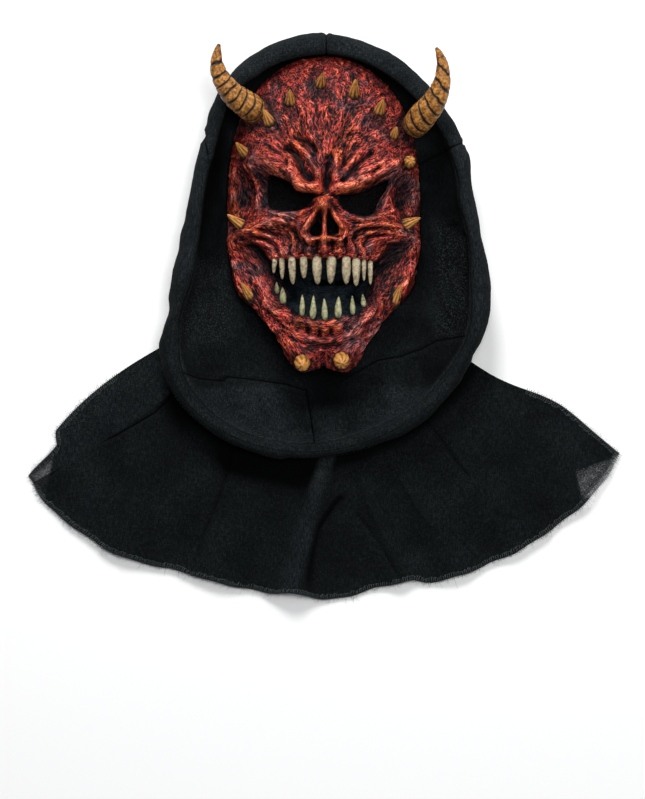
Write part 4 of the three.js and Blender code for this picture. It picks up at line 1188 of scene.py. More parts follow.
SPIKE_SHAPE = curve_through([
    (0, 1.12), (0.12, 1.0), (0.3, 0.86), (0.55, 0.64), (0.8, 0.38), (0.94, 0.20), (1, 0.04),
])
KNOB_SHAPE = curve_through([(0, 1.0), (0.35, 1.0), (0.6, 0.92), (0.8, 0.72), (0.93, 0.42), (1, 0.04)])
# A spike whose tip is nearer to its foot on the plan than this is a blunt knob
KNOB_REACH = 4.5
SPIKE_RIBS = 8
SPIKE_GRID = (36, 16)
SPIKE_SUNK = 0.18
SPIKE_SLIMMER = 0.88
# The forehead's spikes stand a little up their own slant, so their feet are short
FOREHEAD_LOW = 130
FOREHEAD_SPIKE_FOOT = 0.26


def add_spike(foot, tip, rise, radius):
    """A ribbed spike, or a blunt knob, on the skin."""
    base_x, base_y = foot
    tip = np.array([*tip, form_height(base_x, base_y) + rise])
    blunt = math.hypot(tip[0] - base_x, tip[1] - base_y) < KNOB_REACH
    if not blunt and base_y > FOREHEAD_LOW:
        base_x = mix(base_x, tip[0], FOREHEAD_SPIKE_FOOT)
        base_y = mix(base_y, tip[1], FOREHEAD_SPIKE_FOOT)
    base = np.array([base_x, base_y, form_height(base_x, base_y)])
    along = np.linspace(-SPIKE_SUNK, 1, SPIKE_GRID[1])
    middles = base + (tip - base) * along[:, None]
    phase = rng.uniform(0, 6.28)
    depth = 0.025 if blunt else 0.055
    twist = 5 if blunt else 2
    slim = 1.0 if blunt else SPIKE_SLIMMER
    shape = KNOB_SHAPE if blunt else SPIKE_SHAPE

    def rib(angle, place):
        return np.cos(SPIKE_RIBS * angle + phase + twist * place)

    def ribbed_radius(angle, place):
        return 1 + depth * rib(angle, place)

    radii = slim * radius * shape(np.clip(along, 0, 1))
    axes = np.repeat((tip - base)[None, :], len(along), axis=0)
    points, quads, places, angles = swept_rings(middles, axes, radii, SPIKE_GRID[0], ribbed_radius)
    scratches = PlanNoise(0.45)(angles * 1.3 + base_x, places * 1.2)
    grooves = rib(angles, places)
    above_skin = places * (1 + SPIKE_SUNK) - SPIKE_SUNK
    foot_dark = (1 - smooth(0.0, 0.26, above_skin)) * 0.95
    below_tip = 1 - smooth(0.45, 0.95, places)
    # Painted shade in the ribs' grooves, fading towards the tip, and painted light on the rib crests
    groove_shade = (0.45 if blunt else 0.75) * smooth(-0.3, -1.0, grooves) * below_tip
    paint = np.clip(0.74 + 0.34 * scratches + 0.16 * grooves, 0, 1)
    face.add(points, quads, OCHRE_SLOT, strand=paint, gloom=np.maximum(foot_dark, groove_shade))


for spike in SPIKES:
    add_spike(*spike)

latex_face = face.build("latex_face_painted", face_materials)
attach(latex_face, "root")
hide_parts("latex_face")


# Horns

# Points and radii along each horn, base first
LEFT_HORN = [
    ((-60.7, 182.2, 62), 12.0), ((-67.4, 187.0, 71), 12.2), ((-80.6, 196.2, 82), 10.4),
    ((-90.7, 209.9, 89), 8.0), ((-94.2, 221.3, 93), 6), ((-93.5, 232.3, 96), 3.4),
    ((-91.9, 238.8, 97), 1.2),
]
RIGHT_HORN = [
    ((79.9, 169.5, 56), 11.6), ((86.6, 177.2, 68), 12.4), ((97.2, 189.6, 81), 10.7),
    ((103.7, 204.8, 89), 7.9), ((104.3, 219.1, 93), 5.5), ((101.4, 229.7, 96), 3.3),
    ((98.2, 235.6, 97), 1.1),
]
# Ring grooves passed between the base and a place along the horn; the tip has none
LEFT_RINGS = [
    (0, 0.2), (0.09, 1), (0.19, 2), (0.39, 5), (0.455, 6), (0.545, 7), (0.69, 8), (0.8, 8.45), (1, 8.5),
]
RIGHT_RINGS = [
    (0, -0.5), (0.145, 1), (0.24, 2), (0.32, 3), (0.4, 4), (0.505, 5), (0.64, 6), (0.76, 6.45), (1, 6.5),
]
# How far a groove runs up one side of the horn, in rings
LEFT_RING_TILT = -0.1
RIGHT_RING_TILT = 0.42
RING_WIDTH = 0.10
RING_DEPTH = 0.095
HORN_GRID = (72, 264)
# Share of the radius that is left in the last rings, which close the tip
TIP_ROUNDING = (0.9, 0.7, 0.45, 0.05)


def build_horn(name, stations, ring_places, ring_tilt, node):
    """A horn with wavering ring grooves, which crowd and tilt as its table tells."""
    points_by_axis = zip(*[point for point, _ in stations])
    curves = [curve_through(enumerate(values)) for values in points_by_axis]
    radius_at = curve_through(enumerate(radius for _, radius in stations))
    along = np.linspace(0, 1, HORN_GRID[1])
    places = along * (len(stations) - 1)
    middles = np.stack([curve(places) for curve in curves], axis=1)
    axes = np.gradient(middles, axis=0)
    rings_passed = curve_through(ring_places)
    radii = radius_at(places) * (1 - 0.010 * np.cos(2 * np.pi * rings_passed(along)))
    radii[-len(TIP_ROUNDING):] *= TIP_ROUNDING
    wobble = PlanNoise(0.9)
    rough = PlanNoise(0.35)
    waver = PlanNoise(1.0)

    def groove(angle, place):
        """How deep in a ring's groove a place is; the grooves waver round the horn."""
        wave = 0.10 * waver(1.6 * np.cos(angle) + place * 19, 1.6 * np.sin(angle))
        phase = rings_passed(place) - ring_tilt * np.cos(angle) * smooth(1.0, 0.8, place) + wave
        return np.exp(-(((phase - np.round(phase)) / RING_WIDTH) ** 2))

    def shape(angle, place):
        bumps = 0.022 * wobble(angle * 2.2, place * 9) + 0.010 * rough(angle * 3, place * 30)
        return 1 + bumps - RING_DEPTH * groove(angle, place)

    points, quads, place_of, angle_of = swept_rings(middles, axes, radii, HORN_GRID[0], shape)
    cap = np.arange(HORN_GRID[0] // 2 - 1)
    last = HORN_GRID[0] - 1
    cap_quads = np.stack([cap, last - cap, last - cap - 1, cap + 1], axis=1)
    horn = Piece()
    grooves = groove(angle_of, place_of)
    near_base = np.repeat((1 - smooth(0.03, 0.13, along)) * 0.75, HORN_GRID[0])
    x = points[:, 0]
    y = points[:, 1]
    mottle = layered_noise(x, y, (3.0, 0.15), (1.1, 0.16))
    toward_tip = 0.10 * smooth(0.74, 0.80, place_of) + 0.10 * smooth(0.85, 1.0, place_of)
    fibres = 0.13 * rough(angle_of * 2.2, place_of * 6)
    # Painted shade in the ring grooves; the collar near the base is the paint's own dark tone
    strand = np.clip(0.60 + mottle + fibres - 0.2 * grooves - toward_tip, 0, 1)
    gloom = np.maximum(np.clip(1.5 * grooves, 0, 1), near_base)
    horn.add(points, np.concatenate([quads, cap_quads]), 0, strand=strand, gloom=gloom)
    obj = horn.build(name, [OCHRE])
    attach(obj, "root")
    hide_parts(node)


build_horn("horn_left_painted", LEFT_HORN, LEFT_RINGS, LEFT_RING_TILT, "horn_left")
build_horn("horn_right_painted", RIGHT_HORN, RIGHT_RINGS, RIGHT_RING_TILT, "horn_right")


# Net behind the eyes: crossing threads that follow the inside of the latex

NET_PITCH = 2.3
NET_THREAD = 0.30
NET_OVERLAP = 1.25
NET_DEPTH = LATEX_WALL + 0.9
NET_SLANTS = (math.radians(38), math.radians(142))
NET_SPAN = 48.0
NET_STEP = 1.6
NET_SIDES = 4


def net_height(x, y):
    """Height of the net, a fixed depth below the skin along its normal."""
    step = 1.0
    slope_x = (dome_height(x + step, y) - dome_height(x - step, y)) / (2 * step)
    slope_y = (dome_height(x, y + step) - dome_height(x, y - step)) / (2 * step)
    return dome_height(x, y) + (swelling_floor(x, y) - NET_DEPTH) * np.sqrt(1 + slope_x**2 + slope_y**2)


def build_net(name, outline, node):
    """Two sets of crossing threads, cut to an eye opening and a little beyond."""
    middle_x = sum(x for x, _ in outline) / len(outline)
    middle_y = sum(y for _, y in outline) / len(outline)
    wider = [(mix(middle_x, x, NET_OVERLAP), mix(middle_y, y, NET_OVERLAP)) for x, y in outline]
    net = Piece()
    for slant in NET_SLANTS:
        along_x = math.cos(slant)
        along_y = math.sin(slant)
        for offset in np.arange(-NET_SPAN, NET_SPAN, NET_PITCH):
            t = np.arange(-NET_SPAN, NET_SPAN, NET_STEP)
            x = middle_x + along_x * t - along_y * offset
            y = middle_y + along_y * t + along_x * offset
            inside = np.flatnonzero(signed_distance(x, y, wider) < 0)
            for run in np.split(inside, np.flatnonzero(np.diff(inside) > 1) + 1):
                if len(run) < 3:
                    continue
                height = net_height(x[run], y[run]) + 0.15 * np.cos(np.pi * t[run] / NET_PITCH)
                middles = np.stack([x[run], y[run], height], axis=1)
                axes = np.gradient(middles, axis=0)
                radii = np.full(len(run), NET_THREAD)
                points, quads, _, _ = swept_rings(middles, axes, radii, NET_SIDES)
                net.add(points, quads, 0)
    obj = net.build(name, [NET])
    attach(obj, "root")
    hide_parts(node)


build_net("eye_net_left_threads", LEFT_EYE, "eye_net_left")
build_net("eye_net_right_threads", RIGHT_EYE, "eye_net_right")


# Hood, facing and cape outlines, as in the solids

hood_outer_radius = curve_through([
    (0, 144), (15, 142), (25, 147.5), (33, 156), (37, 157.5), (45, 165), (60, 177), (75, 189.5),
    (90, 195.5), (105, 190), (120, 177.5), (128, 165), (133, 155), (140, 142.5), (147, 138),
    (157, 132), (166, 130), (180, 132), (190, 139), (196, 145.5), (201, 151), (206, 163),
    (210, 171.5), (225, 188), (240, 192), (255, 190), (270, 186), (285, 181), (300, 176),
    (315, 169.5), (325, 166), (333, 164), (345, 156),
], 360)
hood_rim_radius = curve_through([
    (0, 130), (10, 128.5), (20, 129), (30, 137), (45, 149), (60, 160), (75, 170), (90, 175.5),
    (105, 172.5), (120, 160), (135, 136), (150, 121.5), (165, 113), (180, 114), (195, 124), (205, 142),
    (213, 156), (225, 171), (240, 178), (255, 177), (270, 172), (285, 166), (300, 162), (315, 155),
    (325, 151.5), (333, 146.5), (345, 136),
], 360)
hood_rim_height = curve_through([
    (0, 64), (30, 62), (50, 54), (60, 53), (75, 57), (90, 60), (105, 58), (120, 54), (150, 63), (180, 64),
    (210, 57), (240, 47), (270, 43), (300, 48), (330, 60),
], 360)
HOOD_FOOT_SHARE = 0.86
# Rows of the profile: whether they lie between foot and outside or between rim and outside, how
# far outward from the inner one, and the share of the rim's height
HOOD_SIDE_PROFILE = [
    ("foot", 0, 0), ("wall", 0.55, 0.18), ("wall", 0.9, 0.4), ("wall", 1, 0.62), ("roll", 0.94, 0.82),
    ("roll", 0.66, 0.97), ("roll", 0.3, 1), ("roll", 0, 0.95), ("roll", -0.05, 0.86),
]
HOOD_NECK_PROFILE = [
    ("foot", 0, 0), ("wall", 0.04, 0.2), ("wall", 0.16, 0.42), ("wall", 0.7, 0.6), ("roll", 0.98, 0.76),
    ("roll", 0.8, 0.95), ("roll", 0.38, 1), ("roll", 0, 0.94), ("roll", -0.05, 0.82),
]
HOOD_ROWS = len(HOOD_SIDE_PROFILE)


def neck_share(angle):
    """One below the chin, where the hood has its neck profile, and nought elsewhere."""
    return 1 - smooth(28.6, 52, np.abs(np.mod(angle, 360) - 270))


def hood_controls(angle):
    """Radius and height of the hood's profile rows, for an array of angles."""
    outer = hood_outer_radius(angle)
    foot = outer * HOOD_FOOT_SHARE
    rim = hood_rim_radius(angle)
    tall = hood_rim_height(angle)
    share = neck_share(angle)
    radii = [np.zeros_like(outer)]
    heights = [np.zeros_like(outer)]
    for (zone, side_out, side_up), (_, neck_out, neck_up) in zip(HOOD_SIDE_PROFILE, HOOD_NECK_PROFILE):
        inner = rim if zone == "roll" else foot
        radii.append(mix(mix(inner, outer, side_out), mix(inner, outer, neck_out), share))
        heights.append(mix(side_up, neck_up, share) * tall)
    return np.array(radii), np.array(heights)


def along_profile(controls, rows):
    """Smooth interpolation of control rows at fractional row numbers."""
    last = len(controls) - 1
    index = np.clip(rows.astype(int), 0, last - 1)
    t = (rows - index)[:, None]
    p0 = controls[np.maximum(index - 1, 0)]
    p1 = controls[index]
    p2 = controls[index + 1]
    p3 = controls[np.minimum(index + 2, last)]
    return 0.5 * (
        2 * p1
        + (p2 - p0) * t
        + (2 * p0 - 5 * p1 + 4 * p2 - p3) * t**2
        + (3 * p1 - p0 - 3 * p2 + p3) * t**3
    )


def plan_points(angle, radius, height):
    """Points from angles in degrees and radii round the middle of the hood."""
    turn = np.radians(angle)
    return np.stack([radius * np.cos(turn), CENTRE_Y + radius * np.sin(turn), height], axis=-1)


def grid_normals(points, wrapped):
    """Normals of a grid of points shaped (rows, columns, 3)."""
    if wrapped:
        across = np.roll(points, -1, axis=1) - np.roll(points, 1, axis=1)
    else:
        across = np.gradient(points, axis=1)
    up = np.gradient(points, axis=0)
    normals = np.cross(across, up)
    return normals / np.maximum(np.linalg.norm(normals, axis=2, keepdims=True), 1e-9)


CREASE_STRENGTH = 0.45
# Furthest distance from a seam that is told apart
SEAM_REACH = 8
CLOTH_LOOKS = ("sheer", "open_weave", "gloom")


def seam_values(x, y, seams, creases):
    """Signed distance to the nearest line, and how strongly its line of painted shade and its groove show.
    A crease fades at its ends.
    """
    nearest = np.full(np.shape(x), 1e3)
    signed = np.zeros(np.shape(x))
    strength = np.zeros(np.shape(x))
    lines = [(path, 1.0) for path in seams] + [(path, CREASE_STRENGTH) for path in creases]
    for path, full in lines:
        lengths = [math.hypot(bx - ax, by - ay) for (ax, ay), (bx, by) in zip(path, path[1:])]
        walked = 0.0
        for (ax, ay), (bx, by), length in zip(path, path[1:], lengths):
            along, _, _, distance = nearest_on_segment(x, y, (ax, ay), (bx, by))
            side = np.sign((x - ax) * (by - ay) - (y - ay) * (bx - ax))
            share = (walked + along * length) / sum(lengths)
            ends = 1.0 if full == 1.0 else smooth(0.0, 0.3, share) * smooth(1.0, 0.7, share)
            closer = distance < nearest
            signed = np.where(closer, side * distance, signed)
            strength = np.where(closer, full * ends, strength)
            nearest = np.where(closer, distance, nearest)
            walked += length
    return np.clip(signed, -SEAM_REACH, SEAM_REACH), strength * smooth(6.0, 3.0, nearest)


def add_cloth(name, points, wrapped, material, node, seams, creases=(), flip=False, drop=None, **looks):
    """A sheet from a grid of points, with its thickness; `looks` are its other attributes."""
    rows, columns = points.shape[:2]
    quads = grid_quads(columns if wrapped else columns - 1, rows - 1, wrapped)
    if drop is not None:
        quads = quads[~drop.ravel()[quads].all(axis=1)]
    if flip:
        quads = quads[:, ::-1]
    obj = add_mesh(name, points.reshape(-1, 3), quads)
    obj.data.materials.append(material)
    seam, near_seam = seam_values(points[..., 0], points[..., 1], seams, creases)
    set_attribute(obj, "seam", seam.ravel())
    set_attribute(obj, "near_seam", near_seam.ravel())
    for look in CLOTH_LOOKS:
        set_attribute(obj, look, np.broadcast_to(looks.get(look, 0.0), (rows, columns)).ravel())
    thick = obj.modifiers.new("thickness", "SOLIDIFY")
    thick.thickness = CLOTH * MM
    thick.offset = -1
    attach(obj, "root")
    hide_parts(node)
    return obj


def folded_relief(x, y, folds):
    """Lift of soft folds and seams drawn on the plan."""
    lift = np.zeros(np.shape(x))
    for width, height, path in folds:
        lift += height * near_path(x, y, path, width)
    return lift


def seam_relief(x, y, seams):
    """A seam: a sharp valley between two soft rolls, puckered along its length."""
    lift = np.zeros(np.shape(x))
    pucker = PlanNoise(5.0)(x, y)
    for path in seams:
        distance = distance_to_path(x, y, path)
        lift -= 1.5 * np.exp(-((distance / 1.1) ** 2))
        lift += (0.7 + 0.5 * pucker) * np.exp(-(((distance - 3.2) / 2.0) ** 2))
    return lift


# Hood: the bag behind the head and its soft rim roll

HOOD_GRID = (540, 80)
# Lowest height of the cloth's outside, and the limits of the folds' lift
CLOTH_FLOOR = 0.15
HIGHEST_FOLD = 2.6
FOLD_SETTLE = 0.4
# Opening to the space between the cape layers: half-width, lowest and highest, near and far edge
NECK_PASSAGE = (74, 2.6, 19, -70, -140)
FLOOR_ROWS = 9
# Seams over the rim, and the notches where they pull the silhouette in
HOOD_SEAMS = [
    [(1.8, 256), (2.2, 231)],
    [(86, 139), (106, 148), (128, 157.5)],
    [(-108, 166), (-103, 144)],
]
# The line of stitching on the rim, which shows as a thin line of painted shade
STITCH_INSET = 6.0
STITCH_REACH = (200, 322)
STITCH_POINTS = 60
HOOD_FOLDS = [
    (7, -2.2, [(-112, 128), (-122, 100), (-127, 60)]),
    (5, 1.8, [(-106, 152), (-116, 120), (-122, 96)]),
    (6, -2.0, [(126, 128), (132, 92), (134, 60)]),
    (5, 1.6, [(120, 150), (127, 116), (131, 84)]),
    (6, -1.8, [(-136, 20), (-143, -14), (-138, -36)]),
    (5, 1.6, [(-126, 40), (-132, 4), (-128, -34)]),
    (7, 1.8, [(-60, 216), (-34, 233), (-8, 240)]),
    (6, -1.6, [(14, 243), (40, 236), (62, 222)]),
    (6, 1.6, [(-100, -92), (-72, -114), (-40, -124)]),
    (6, -1.6, [(-20, -118), (14, -120), (44, -112)]),
    (6, 1.5, [(60, -110), (96, -88), (120, -56)]),
    (5, -1.5, [(142, 20), (146, -10), (138, -34)]),
]


def hood_surface(angles, rows):
    """Points of the bag for angles round it and fractional profile rows."""
    radii, heights = hood_controls(angles)
    radius = along_profile(radii, rows)
    height = along_profile(heights, rows)
    return plan_points(np.broadcast_to(angles, radius.shape), radius, np.maximum(height, CLOTH_FLOOR))


def make_hood():
    angles = np.arange(HOOD_GRID[0]) * 360 / HOOD_GRID[0]
    floor_rows = np.linspace(0.02, 1, FLOOR_ROWS)[:-1]
    rows = np.concatenate([floor_rows, np.linspace(1, HOOD_ROWS, HOOD_GRID[1] + 1 - len(floor_rows))])
    points = hood_surface(angles, rows)
    normals = grid_normals(points, True)
    x = points[..., 0]
    y = points[..., 1]
    on_top = smooth(2.4, 4.6, rows)[:, None]
    on_wall = smooth(1.0, 2.2, rows)[:, None]
    slow = layered_noise(x, y, (26.0, 1.1), (11.0, 0.5), (4.0, 0.16))
    lift = on_wall * slow + on_top * (folded_relief(x, y, HOOD_FOLDS) + seam_relief(x, y, HOOD_SEAMS))
    lift = np.minimum(lift, HIGHEST_FOLD) - FOLD_SETTLE
    lift *= smooth(0.9, 2.0, rows)[:, None] * (1 - 0.8 * smooth(8.2, 9.0, rows)[:, None])
    points = points + normals * lift[..., None]
    points[..., 2] = np.maximum(points[..., 2], CLOTH_FLOOR)
    stitch_angles = np.linspace(*STITCH_REACH, STITCH_POINTS)
    stitch_radii = hood_outer_radius(stitch_angles) - STITCH_INSET
    stitch_line = [(x, y) for x, y, _ in plan_points(stitch_angles, stitch_radii, np.zeros(STITCH_POINTS))]
    half_width, low, high, near, far = NECK_PASSAGE
    drop = (np.abs(points[..., 0]) < half_width) & (points[..., 1] > far) & (points[..., 1] < near)
    drop &= (points[..., 2] > low) & (points[..., 2] < high)
    # Painted shade on the inner lip of the rim's roll, where it turns down; the roll's top is also darker
    # towards the bottom
    inside = 0.9 * smooth(8.3, 9.0, rows)[:, None]
    lower = 0.30 * smooth(150, -60, y) * on_top
    return add_cloth(
        "hood_gauze", points, True, GAUZE, "hood", HOOD_SEAMS, [stitch_line], drop=drop,
        gloom=np.maximum(inside, lower),
    )


hood = make_hood()


# Facing: the funnel between the hood's rim and the face

facing_edge_height = curve_through([(-90, 40), (-70, 36), (-45, 27), (-20, 21), (90, 20)])
# Gap between the funnel and the latex, and between the funnel and the rim
EDGE_EASE = 0.6
RIM_EASE = 0.6
FACING_SAG = 5
LIP_DROP = 5.0
FACING_GRID = (640, 42)
FACING_SEAMS = [
    [(-125, -50), (-111, -55), (-90, -57), (-88, -53), (-61, -56), (-34, -60), (-18, -65)],
    [(-16, -66), (-12, -89), (-8, -116)],
    [(125, -17), (101, -21), (88, -28), (68, -35), (49, -38), (30, -49), (14, -58)],
    [(86, 139), (106, 148), (118, 153)],
]
FACING_CREASES = [
    [(90, 108), (106, 86), (109, 70), (112, 36), (118, 15), (124, -12)],
    [(126, 68), (126, 44), (123, 18)],
    [(-102, -30), (-96, -44), (-90, -56)],
]
# The slit between two folds, right of the face, which gets painted shade
FACING_SLOT = [(126, 68), (125.5, 44), (121, 20)]
FACING_FOLDS = [
    (8, 2.4, [(-112, 60), (-108, 10), (-104, -40)]),
    (4, -2.0, [(-93, -60), (-88, -86)]),
    (6, 3.0, [(-80, -62), (-70, -92)]),
    (12, -4.0, [(-4, -58), (28, -60)]),
    (7, 3.2, [(-56, -66), (-40, -106)]),
    (6, -3.0, [(-34, -70), (-24, -112)]),
    (6, 2.0, [(-14, -78), (-4, -112)]),
    (8, -3.6, [(30, -60), (14, -108)]),
    (8, 3.2, [(52, -52), (64, -92)]),
    (6, -2.6, [(84, -42), (92, -74)]),
    (4, -5.0, [(127, 72), (127, 44), (124, 14)]),
    (5, 3.0, [(98, 84), (102, 60), (106, 30), (112, 8)]),
    (5, -2.6, [(116, 80), (118, 50), (119, 24)]),
    (6, -1.8, [(-96, 130), (-108, 84)]),
    (5, 1.6, [(-92, 108), (-100, 70), (-98, 30)]),
    (7, 1.8, [(92, 0), (104, -14)]),
]


def wall_radius(folded, height):
    """Radius of the latex face's side at a height."""
    edge = face_edge_height(folded)
    behind = np.clip((edge - height) / (edge - face_rear_height(folded)), 0, 1)
    return face_radius_by_angle(folded) * (1 - REAR_INSET * behind**2)


def make_facing():
    angles = np.arange(FACING_GRID[0]) * 360 / FACING_GRID[0]
    turn = np.radians(angles)
    folded = folded_angle(np.cos(turn), np.sin(turn))
    edge = facing_edge_height(folded)
    inner = wall_radius(folded, edge) + EDGE_EASE
    radii, heights = hood_controls(angles)
    share = np.linspace(0, 1, FACING_GRID[1] + 1)[:, None]
    start_r = radii[-1] + RIM_EASE
    start_z = heights[-1] + RIM_EASE
    across = np.where(inner > start_r, 1 - (1 - share) ** 2.2, share)
    radius = mix(start_r, inner, across)
    height = mix(start_z, edge, share) - FACING_SAG * np.sin(np.pi * share)
    height = height - LIP_DROP * smooth(0.0, 0.14, share) * (1 - smooth(0.2, 0.9, share))
    points = plan_points(np.broadcast_to(angles, radius.shape), radius, height)
    normals = grid_normals(points, True)
    x = points[..., 0]
    y = points[..., 1]
    slow = layered_noise(x, y, (20.0, 1.0), (9.0, 0.5), (4.0, 0.2))
    lift = slow + folded_relief(x, y, FACING_FOLDS) + seam_relief(x, y, FACING_SEAMS)
    lift *= smooth(0.0, 0.16, share) * (1 - smooth(0.86, 1.0, share))
    points = points + normals * lift[..., None]
    right_side = smooth(92, 108, x) * smooth(-30, -8, y) * smooth(96, 74, y)
    left_side = smooth(-78, -92, x) * smooth(-34, -12, y) * smooth(66, 46, y)
    # Painted shade: the funnel is darkened beyond the rim's lip, more above the seam, at the upper left and
    # on the right; the slit and the place below the chin get deep painted shadow
    above_seam = smooth(-66, -58, y)
    beyond_rim = smooth(0.01, 0.055, share)
    upper_left = smooth(-84, -96, x) * smooth(30, 66, y)
    slot = near_path(x, y, FACING_SLOT, 3.2)
    chin_shadow = np.exp(-(((x - 5) / 42) ** 2)) * smooth(0.28, 0.55, share) * smooth(20, -40, y)
    clouded = 0.12 * PlanNoise(14.0)(x, y)
    right = 0.16 * smooth(70, 95, x)
    gloom = beyond_rim * (0.58 + clouded + right + 0.32 * upper_left) * mix(0.38, 1.0, above_seam)
    gloom = np.clip(np.maximum.reduce([gloom, 0.95 * slot * beyond_rim, 0.92 * chin_shadow]), 0, 1)
    return add_cloth(
        "facing_gauze", points, True, GAUZE, "hood_facing", FACING_SEAMS, FACING_CREASES,
        open_weave=0.8 * (right_side + left_side), gloom=gloom,
    )


facing = make_facing()


# Cape

hem_radius = curve_through([
    (217.8, 337), (222.6, 340), (229.5, 337), (235.2, 332.5), (240.3, 325), (245.8, 318), (250.9, 315),
    (256.2, 313.3), (259.9, 314), (263, 311.4), (266.6, 311.6), (269.8, 315), (273.6, 313.7),
    (278.5, 309), (284.4, 308.2), (287.1, 314), (292.4, 319), (299.2, 320.5), (302.7, 323),
    (307.7, 325.5), (315, 327.8), (321.5, 328), (325.8, 326),
])
neck_seam_height = curve_through([
    (215, 7), (222, 8), (238, 15), (252, 21.5), (270, 22.5), (288, 21.5), (304, 15), (326, 8),
])
SEAM_TOP_RADIUS = 192
BACK_TOP_RADIUS = 180
CORNER_RADIUS = 338
BACK_RIGHT_SHORTER = 1.2
right_edge_angle = curve_through([
    (165, 323.4), (188, 323.9), (206, 324.8), (232, 326.5),
    (251, 327.2), (268, 327.1), (295, 326.4), (325, 325.8),
])
CAPE_SETTLE = 1.6
# Small gathers below the neck: how many in a full turn, and their height
GATHERS = 14
GATHER_HEIGHT = 0.9
FRONT_UNDERSIDE = 2.3
# Folds: angle at the neck, angle at the hem, half-width in degrees, height
CAPE_FOLDS = [
    (270.3, 264.6, 3.2, 13), (278.5, 283.4, 2.8, 6), (257, 250, 5, 5), (243, 236, 6, 6),
    (289, 293, 3, 4), (298, 304, 6, 5), (308, 316, 5, 5),
]
LEFT_CREASE = [(-83, -114), (-88, -137), (-94, -160), (-100, -176), (-111, -200), (-116, -226)]
RIGHT_CREASE = [(92, -94), (105, -108), (117, -126), (131, -144)]
CAPE_CREASES = [
    (2.0, -2.6, LEFT_CREASE),
    (2.0, -1.6, [(-176, -145), (-186, -176), (-191, -201)]),
    (2.6, -3.6, [(14, -164), (-4, -190), (-10, -215), (-13, -238)]),
    (2.6, -1.6, [(31, -180), (47, -201), (67, -235)]),
    (1.8, -2.0, RIGHT_CREASE),
    (1.8, -1.4, [(115, -195), (139, -219)]),
    (2.6, -1.4, [(157, -180), (176, -184)]),
    (3.0, 1.6, [(40, -168), (54, -196), (70, -226)]),
    (3.0, 1.6, [(70, -146), (84, -170), (97, -188)]),
    (2.4, 1.4, [(139, -122), (150, -148), (157, -172)]),
    (3.4, 1.4, [(-60, -170), (-70, -232)]),
]
CAPE_SEAMS = [
    [(-132, -66), (-154, -86), (-171, -96), (-190, -107), (-217, -118), (-235, -131), (-258, -150)],
]
# Paths of the painted light on the raised ridge down the middle, of the painted shade in the valley on its
# right and of the painted shadow on its left
RIDGE_CREST = [(3, -125), (-5, -152), (-17, -189), (-27, -223), (-30, -246)]
RIDGE_VALLEY = [(18, -162), (11, -167), (-4, -190), (-10, -215), (-13, -240)]
RIDGE_SHADOW = [(-84, -132), (-50, -140), (-20, -146)]
# Creases that also get thin lines of painted shade
CAPE_LINES = [
    [(9, -121), (10, -140), (9, -154)],
    LEFT_CREASE,
    RIDGE_VALLEY,
    RIGHT_CREASE,
    [(52, -207), (60, -221), (67, -235)],
]
# The shoulder of the back layer, where its weave is open
SHOULDER_LINE = [(-148, -34), (-193, -63), (-236, -100)]
# Turn, in degrees, of the step in the back layer's left edge
BACK_NOTCH = 1.7
BACK_HEIGHT = 0.9
CAPE_FRONT_GRID = (460, 98)
CAPE_BACK_GRID = (300, 60)


def shoulder_seam_angle(radius):
    """Left edge of the front layer, in degrees."""
    return 222.7 - 3.9 * np.clip((radius - SEAM_TOP_RADIUS) / 130, 0, 1.1)


def back_edge_angle(radius):
    """Left edge of the back layer, in degrees, with its notch."""
    sweep = 210 + 7 * np.clip((radius - BACK_TOP_RADIUS) / (CORNER_RADIUS - BACK_TOP_RADIUS), 0, 1) ** 2
    return sweep + BACK_NOTCH * smooth(294, 299, radius) * smooth(345, 299, radius)


def hood_wall_radius(angles, height):
    """Radius of the outside of the hood's wall at a low height, for an array of angles."""
    radii, heights = hood_controls(angles)
    found = hood_outer_radius(angles)
    for row in range(HOOD_ROWS - 1, 0, -1):
        low = heights[row]
        high = heights[row + 1]
        rise = np.where(high > low, high - low, 1)
        reach = mix(radii[row], radii[row + 1], (height - low) / rise)
        found = np.where((height >= low) & (height < high), reach, found)
    return found


def cape_front_grid(columns, rows):
    """Angle, radius, height and share of the way to the hem, over the front layer."""
    u, v = np.meshgrid(np.linspace(0, 1, columns + 1), np.linspace(0, 1, rows + 1))
    neck_angle = mix(shoulder_seam_angle(SEAM_TOP_RADIUS), right_edge_angle(SEAM_TOP_RADIUS), u)
    seam = neck_seam_height(neck_angle)
    start = hood_wall_radius(neck_angle, seam) + 1.0
    hem = hem_radius(mix(shoulder_seam_angle(CORNER_RADIUS), right_edge_angle(CORNER_RADIUS), u))
    hem = hem + 1.1 * np.sin(u * 71) * np.sin(u * 29 + 1)
    radius = mix(start, hem, v)
    angle = mix(shoulder_seam_angle(radius), right_edge_angle(radius), u)
    height = FRONT_UNDERSIDE + (seam - FRONT_UNDERSIDE) * (1 - v) ** CAPE_SETTLE
    for at_neck, at_hem, half_width, rise in CAPE_FOLDS:
        off = (angle - mix(at_neck, at_hem, v)) / half_width
        full = 0.22 if rise > 10 else 0.45
        height = height + rise * np.exp(-off * off) * smooth(0.0, full, v)
    return angle, radius, height, v


SHEER_TIPS = [
    [(-246, -126), (-266, -142), (-262, -158), (-253, -166), (-250, -148)],
    [(228, -138), (250, -130), (272, -122), (262, -150), (243, -162), (234, -163)],
]


def tip_sheerness(x, y):
    """Where the gauze shows the floor through it, at both outer corners."""
    nearest = np.minimum.reduce([signed_distance(x, y, tip) for tip in SHEER_TIPS])
    return smooth(2.5, -1.5, nearest) * np.where(x < 0, 0.78, 1.08)


